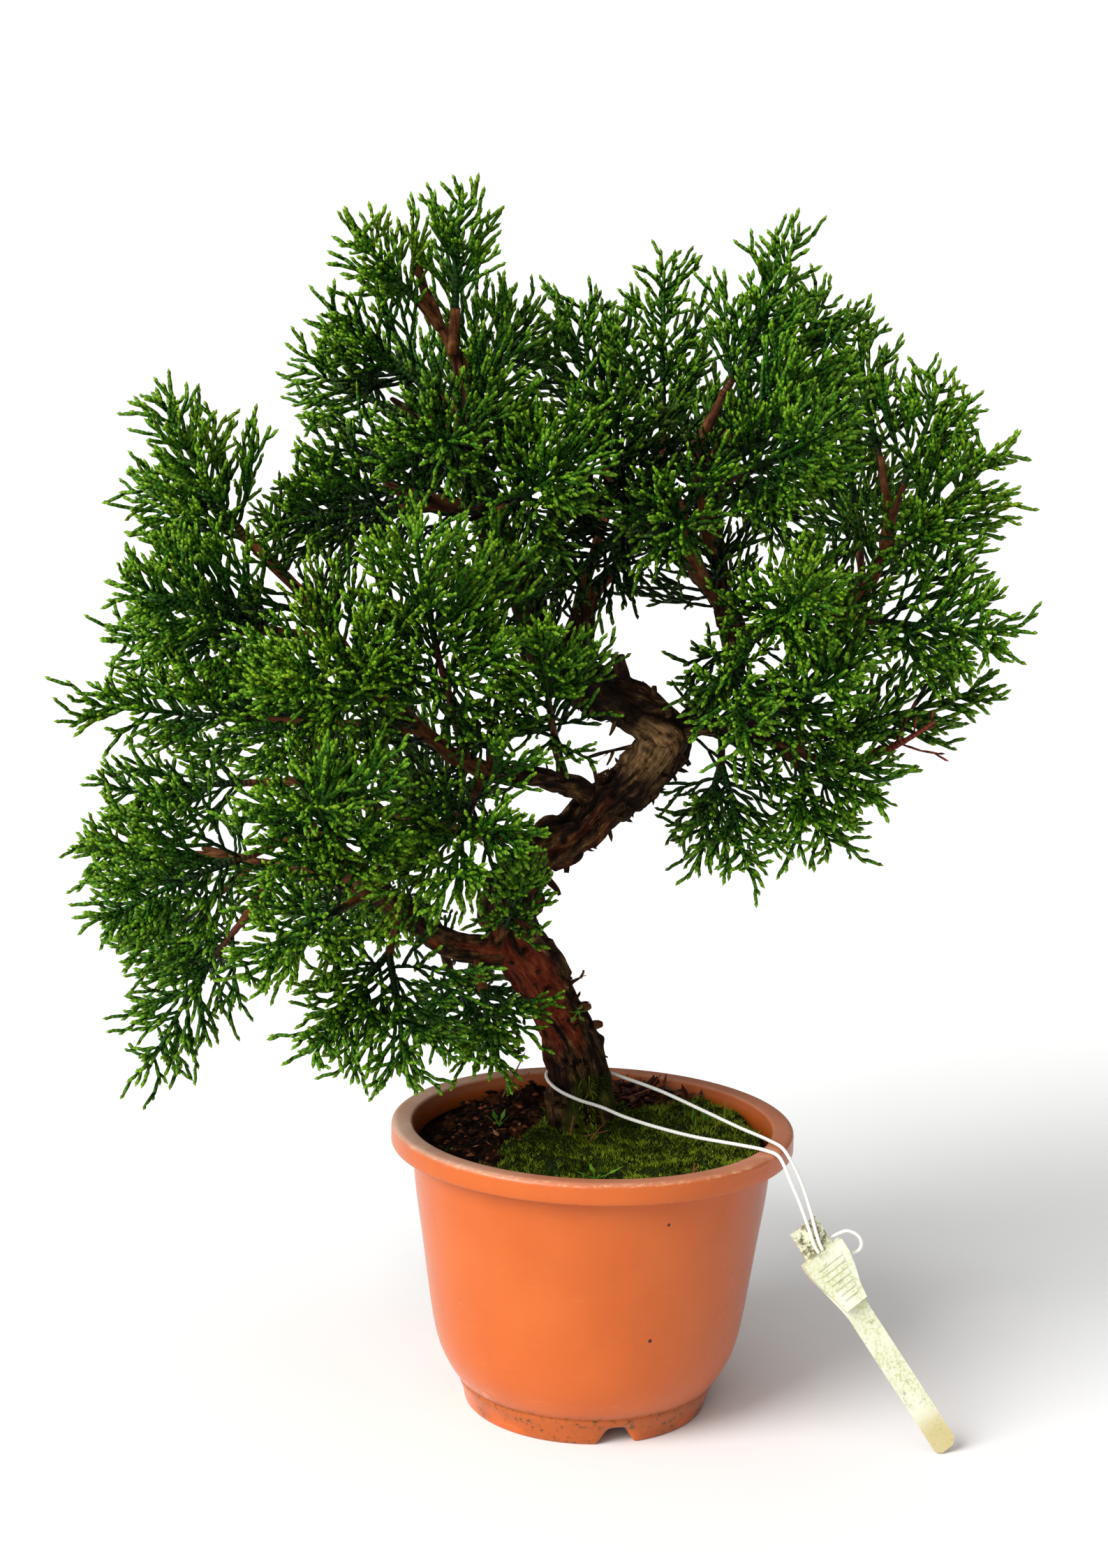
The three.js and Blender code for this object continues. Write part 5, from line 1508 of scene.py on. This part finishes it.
def add_shoots(body, shoots):
    """Each shoot as a closed stem whose rings swell, shrink and turn like whorls of scale leaves."""
    steps = np.clip(np.round(shoots.length / RING_STEP), 1, 26).astype(int)
    for count in np.unique(steps):
        some = shoots.pick(steps == count)
        number = len(some.length)
        t = np.linspace(0, 1, count + 1)
        t[-1] -= 0.35 / count
        t = np.broadcast_to(t, (number, count + 1))
        centre, ahead = some.at(t), some.ahead(t)
        side, over = sides_of(ahead)
        ring = np.arange(count + 1)
        swell = np.where(ring % 2 == 0, 0.96, 1.05)
        swell[-1] = 1.05
        radius = some.radius[:, None] * swell
        turn = (np.arange(SHOOT_SIDES) + 0.5 * (ring % 2)[:, None]) * math.tau / SHOOT_SIDES
        out = around(side[:, :, None], over[:, :, None], turn)
        places = centre[:, :, None] + out * radius[:, :, None, None]
        tips = some.end[:, None] + ahead[:, -1:] * 0.3
        each = (count + 1) * SHOOT_SIDES + 1
        spots = np.concatenate([places.reshape(number, -1, 3), tips], 1)
        first = np.arange(number)[:, None, None] * each
        quads = (first + ring_faces(count + 1, SHOOT_SIDES)).reshape(-1, 4)
        top = (first + fan(each - 1, each - 1 - SHOOT_SIDES + np.arange(SHOOT_SIDES))).reshape(-1, 3)
        base = first[:, 0] + np.arange(SHOOT_SIDES)[::-1]
        age = 1 - (1 - t) * some.length[:, None] / BROWN_AFTER
        age = np.concatenate([np.repeat(age, SHOOT_SIDES, 1), np.ones((number, 1))], 1)
        across = np.concatenate([np.tile(np.arange(SHOOT_SIDES) * 0.015, count + 1), [0.02]])
        tone = np.clip(some.tone[:, None] + across, 0, 1)
        body.add(spots, [quads, top, base], np.stack([np.clip(age, 0, 1), tone], -1))


def add_axis(body, axis, tone):
    """The plume's stem: brown bark at its root that turns into scale leaves."""
    rings = int(axis.length / 1.6)
    sides = 6
    share = np.linspace(0, 1, rings + 1)
    radius = lerp(AXIS_ROOT_RADIUS, AXIS_TIP_RADIUS, share)
    radius = radius * np.where(np.arange(rings + 1) % 2 == 0, 0.94, 1.08)
    age = np.clip(1 - (1 - share) * axis.length / BROWN_AFTER, 0, 1)
    age = np.concatenate([np.repeat(age, sides), [0, 1]])
    across = np.concatenate([np.tile([0, 0.01, 0.02, 0.03, 0.02, 0.01], rings + 1), [0, 0]])
    tube(body, axis.at(share), radius, sides, uv=np.stack([age, tone + across], -1))


def add_branched(body, mains, side_gap, side_first, side_size, bud_gap, draw):
    """Main shoots with two finer orders of shoots on them."""
    sides = forked(mains, side_gap, side_first, 0.95, side_size, 5, draw)
    buds = forked(sides, bud_gap, 0.25, 0.93, 0.56, 7, draw)
    for shoots in (mains, sides, buds):
        add_shoots(body, shaded(shoots))


def make_spray(name, spray, number, material, slot):
    draw = np.random.default_rng(100 + number)
    _, root, _ = root_of(spray)
    body = Body()
    for plume, (x, y, z, width) in enumerate(spray[2]):
        axis = plume_axis(root, (x, y, z))
        tone = 0.5 + 0.16 * draw.uniform(-1, 1)
        mains = main_shoots(axis, width, number + plume * 0.5, tone, draw)
        add_axis(body, axis, tone)
        if slot == "dead_twig":
            mains.radius = mains.radius * 0.6
            add_shoots(body, mains.pick(np.arange(len(mains.length)) % 3 == 0))
            add_shoots(body, forked(mains, 9, 0.3, 0.9, 0.6, 12, draw))
        else:
            add_branched(body, mains, 4.9, 0.12, 0.66, 6, draw)
    body.piece(f"{name}_leafy", material, [name])


def make_short_shoots(material):
    """Short forked shoots that grow straight out of the limbs, between the sprays."""
    draw = np.random.default_rng(77)
    body = Body()
    for limb, first, last, count in SHORT_SHOOTS:
        share = draw.uniform(first, last, count)
        ahead = CURVES[limb].ahead(share)
        out = around(*sides_of(ahead), draw.uniform(0, math.tau, count))
        start = CURVES[limb].at(share) + out * limb_radius(limb, share).reshape(-1, 1) * 0.7
        length = draw.uniform(14, 30, count)
        tone = draw.uniform(0.3, 0.6, count)
        mains = bowed(start, out, ahead, length, np.full(count, SHOOT_RADIUS), tone, 0.72, 0.6)
        add_branched(body, mains, 4.7, 0.25, 0.62, 4.8, draw)
    body.piece("short_shoots", material)


def make_foliage():
    green = foliage_material("scale_leaves", YOUNG_LEAF, LEAF_RAMP)
    dead = foliage_material("dead_leaves", DRY_LEAF, DEAD_LEAF_RAMP)
    for number, (name, spray) in enumerate(SPRAYS.items()):
        if name == "dead_twig":
            make_spray(name, spray, number, dead, "dead_twig")
        else:
            make_spray(name, spray, number, green, "foliage")
    make_short_shoots(green)


# Light and floor

def make_light(name, turn_deg, height_deg, strength, softness_deg):
    data = bpy.data.lights.new(name, "SUN")
    data.energy = strength
    data.angle = math.radians(softness_deg)
    lamp = bpy.data.objects.new(name, data)
    lamp.rotation_euler = (math.radians(90 - height_deg), 0, math.radians(turn_deg))
    bpy.context.scene.collection.objects.link(lamp)


def make_floor():
    bpy.ops.mesh.primitive_circle_add(vertices=96, radius=12, fill_type="NGON", location=(0, 0, 0))
    floor = bpy.context.object
    floor.name = "floor"
    s = Shader("pale_floor", 0.9)
    s.set("Base Color", shade(FLOOR_PALE))
    floor.data.materials.append(s.material)


def make_studio():
    """A world that is plain white to the camera, and as light is stronger from above than from the sides."""
    studio = bpy.data.worlds.new("studio")
    studio.use_nodes = True
    nodes, link = studio.node_tree.nodes, studio.node_tree.links.new
    background = nodes["Background"]
    background.inputs["Color"].default_value = (1, 1, 1, 1)
    slant = nodes.new("ShaderNodeVectorMath")
    slant.operation = "DOT_PRODUCT"
    slant.inputs[1].default_value = OVERHEAD_WAY
    overhead = nodes.new("ShaderNodeMapRange")
    overhead.interpolation_type = "SMOOTHSTEP"
    overhead.inputs["To Min"].default_value = SURROUND_LIGHT
    overhead.inputs["To Max"].default_value = SURROUND_LIGHT + OVERHEAD_LIGHT
    strength = nodes.new("ShaderNodeMapRange")
    link(nodes.new("ShaderNodeTexCoord").outputs["Generated"], slant.inputs[0])
    link(slant.outputs["Value"], overhead.inputs["Value"])
    link(nodes.new("ShaderNodeLightPath").outputs["Is Camera Ray"], strength.inputs["Value"])
    link(overhead.outputs["Result"], strength.inputs["To Min"])
    link(strength.outputs["Result"], background.inputs["Strength"])
    bpy.context.scene.world = studio
    bpy.context.scene.view_settings.view_transform = "Standard"


make_camera()
label = frame["nodes"]["label"]
cord_look = cord_material()
make_cord("cord", CORD_ROUTE, cord_look)
make_cord("cord_loop", LOOSE_LOOP, cord_look)
label.material_slots[0].material = label_material()
make_pot()
make_soil()
make_moss()
make_tufts(moss_leaf_material())
make_grains(tone_material("grains", 0.9, 0.1, GRAIN_RAMP))
make_litter(tone_material("litter", 0.7, 0.2, LITTER_RAMP))
make_wood()
make_foliage()
make_floor()
for lamp_name, (turn_deg, height_deg, energy, softness_deg) in LAMPS.items():
    make_light(lamp_name, turn_deg, height_deg, energy, softness_deg)
make_studio()
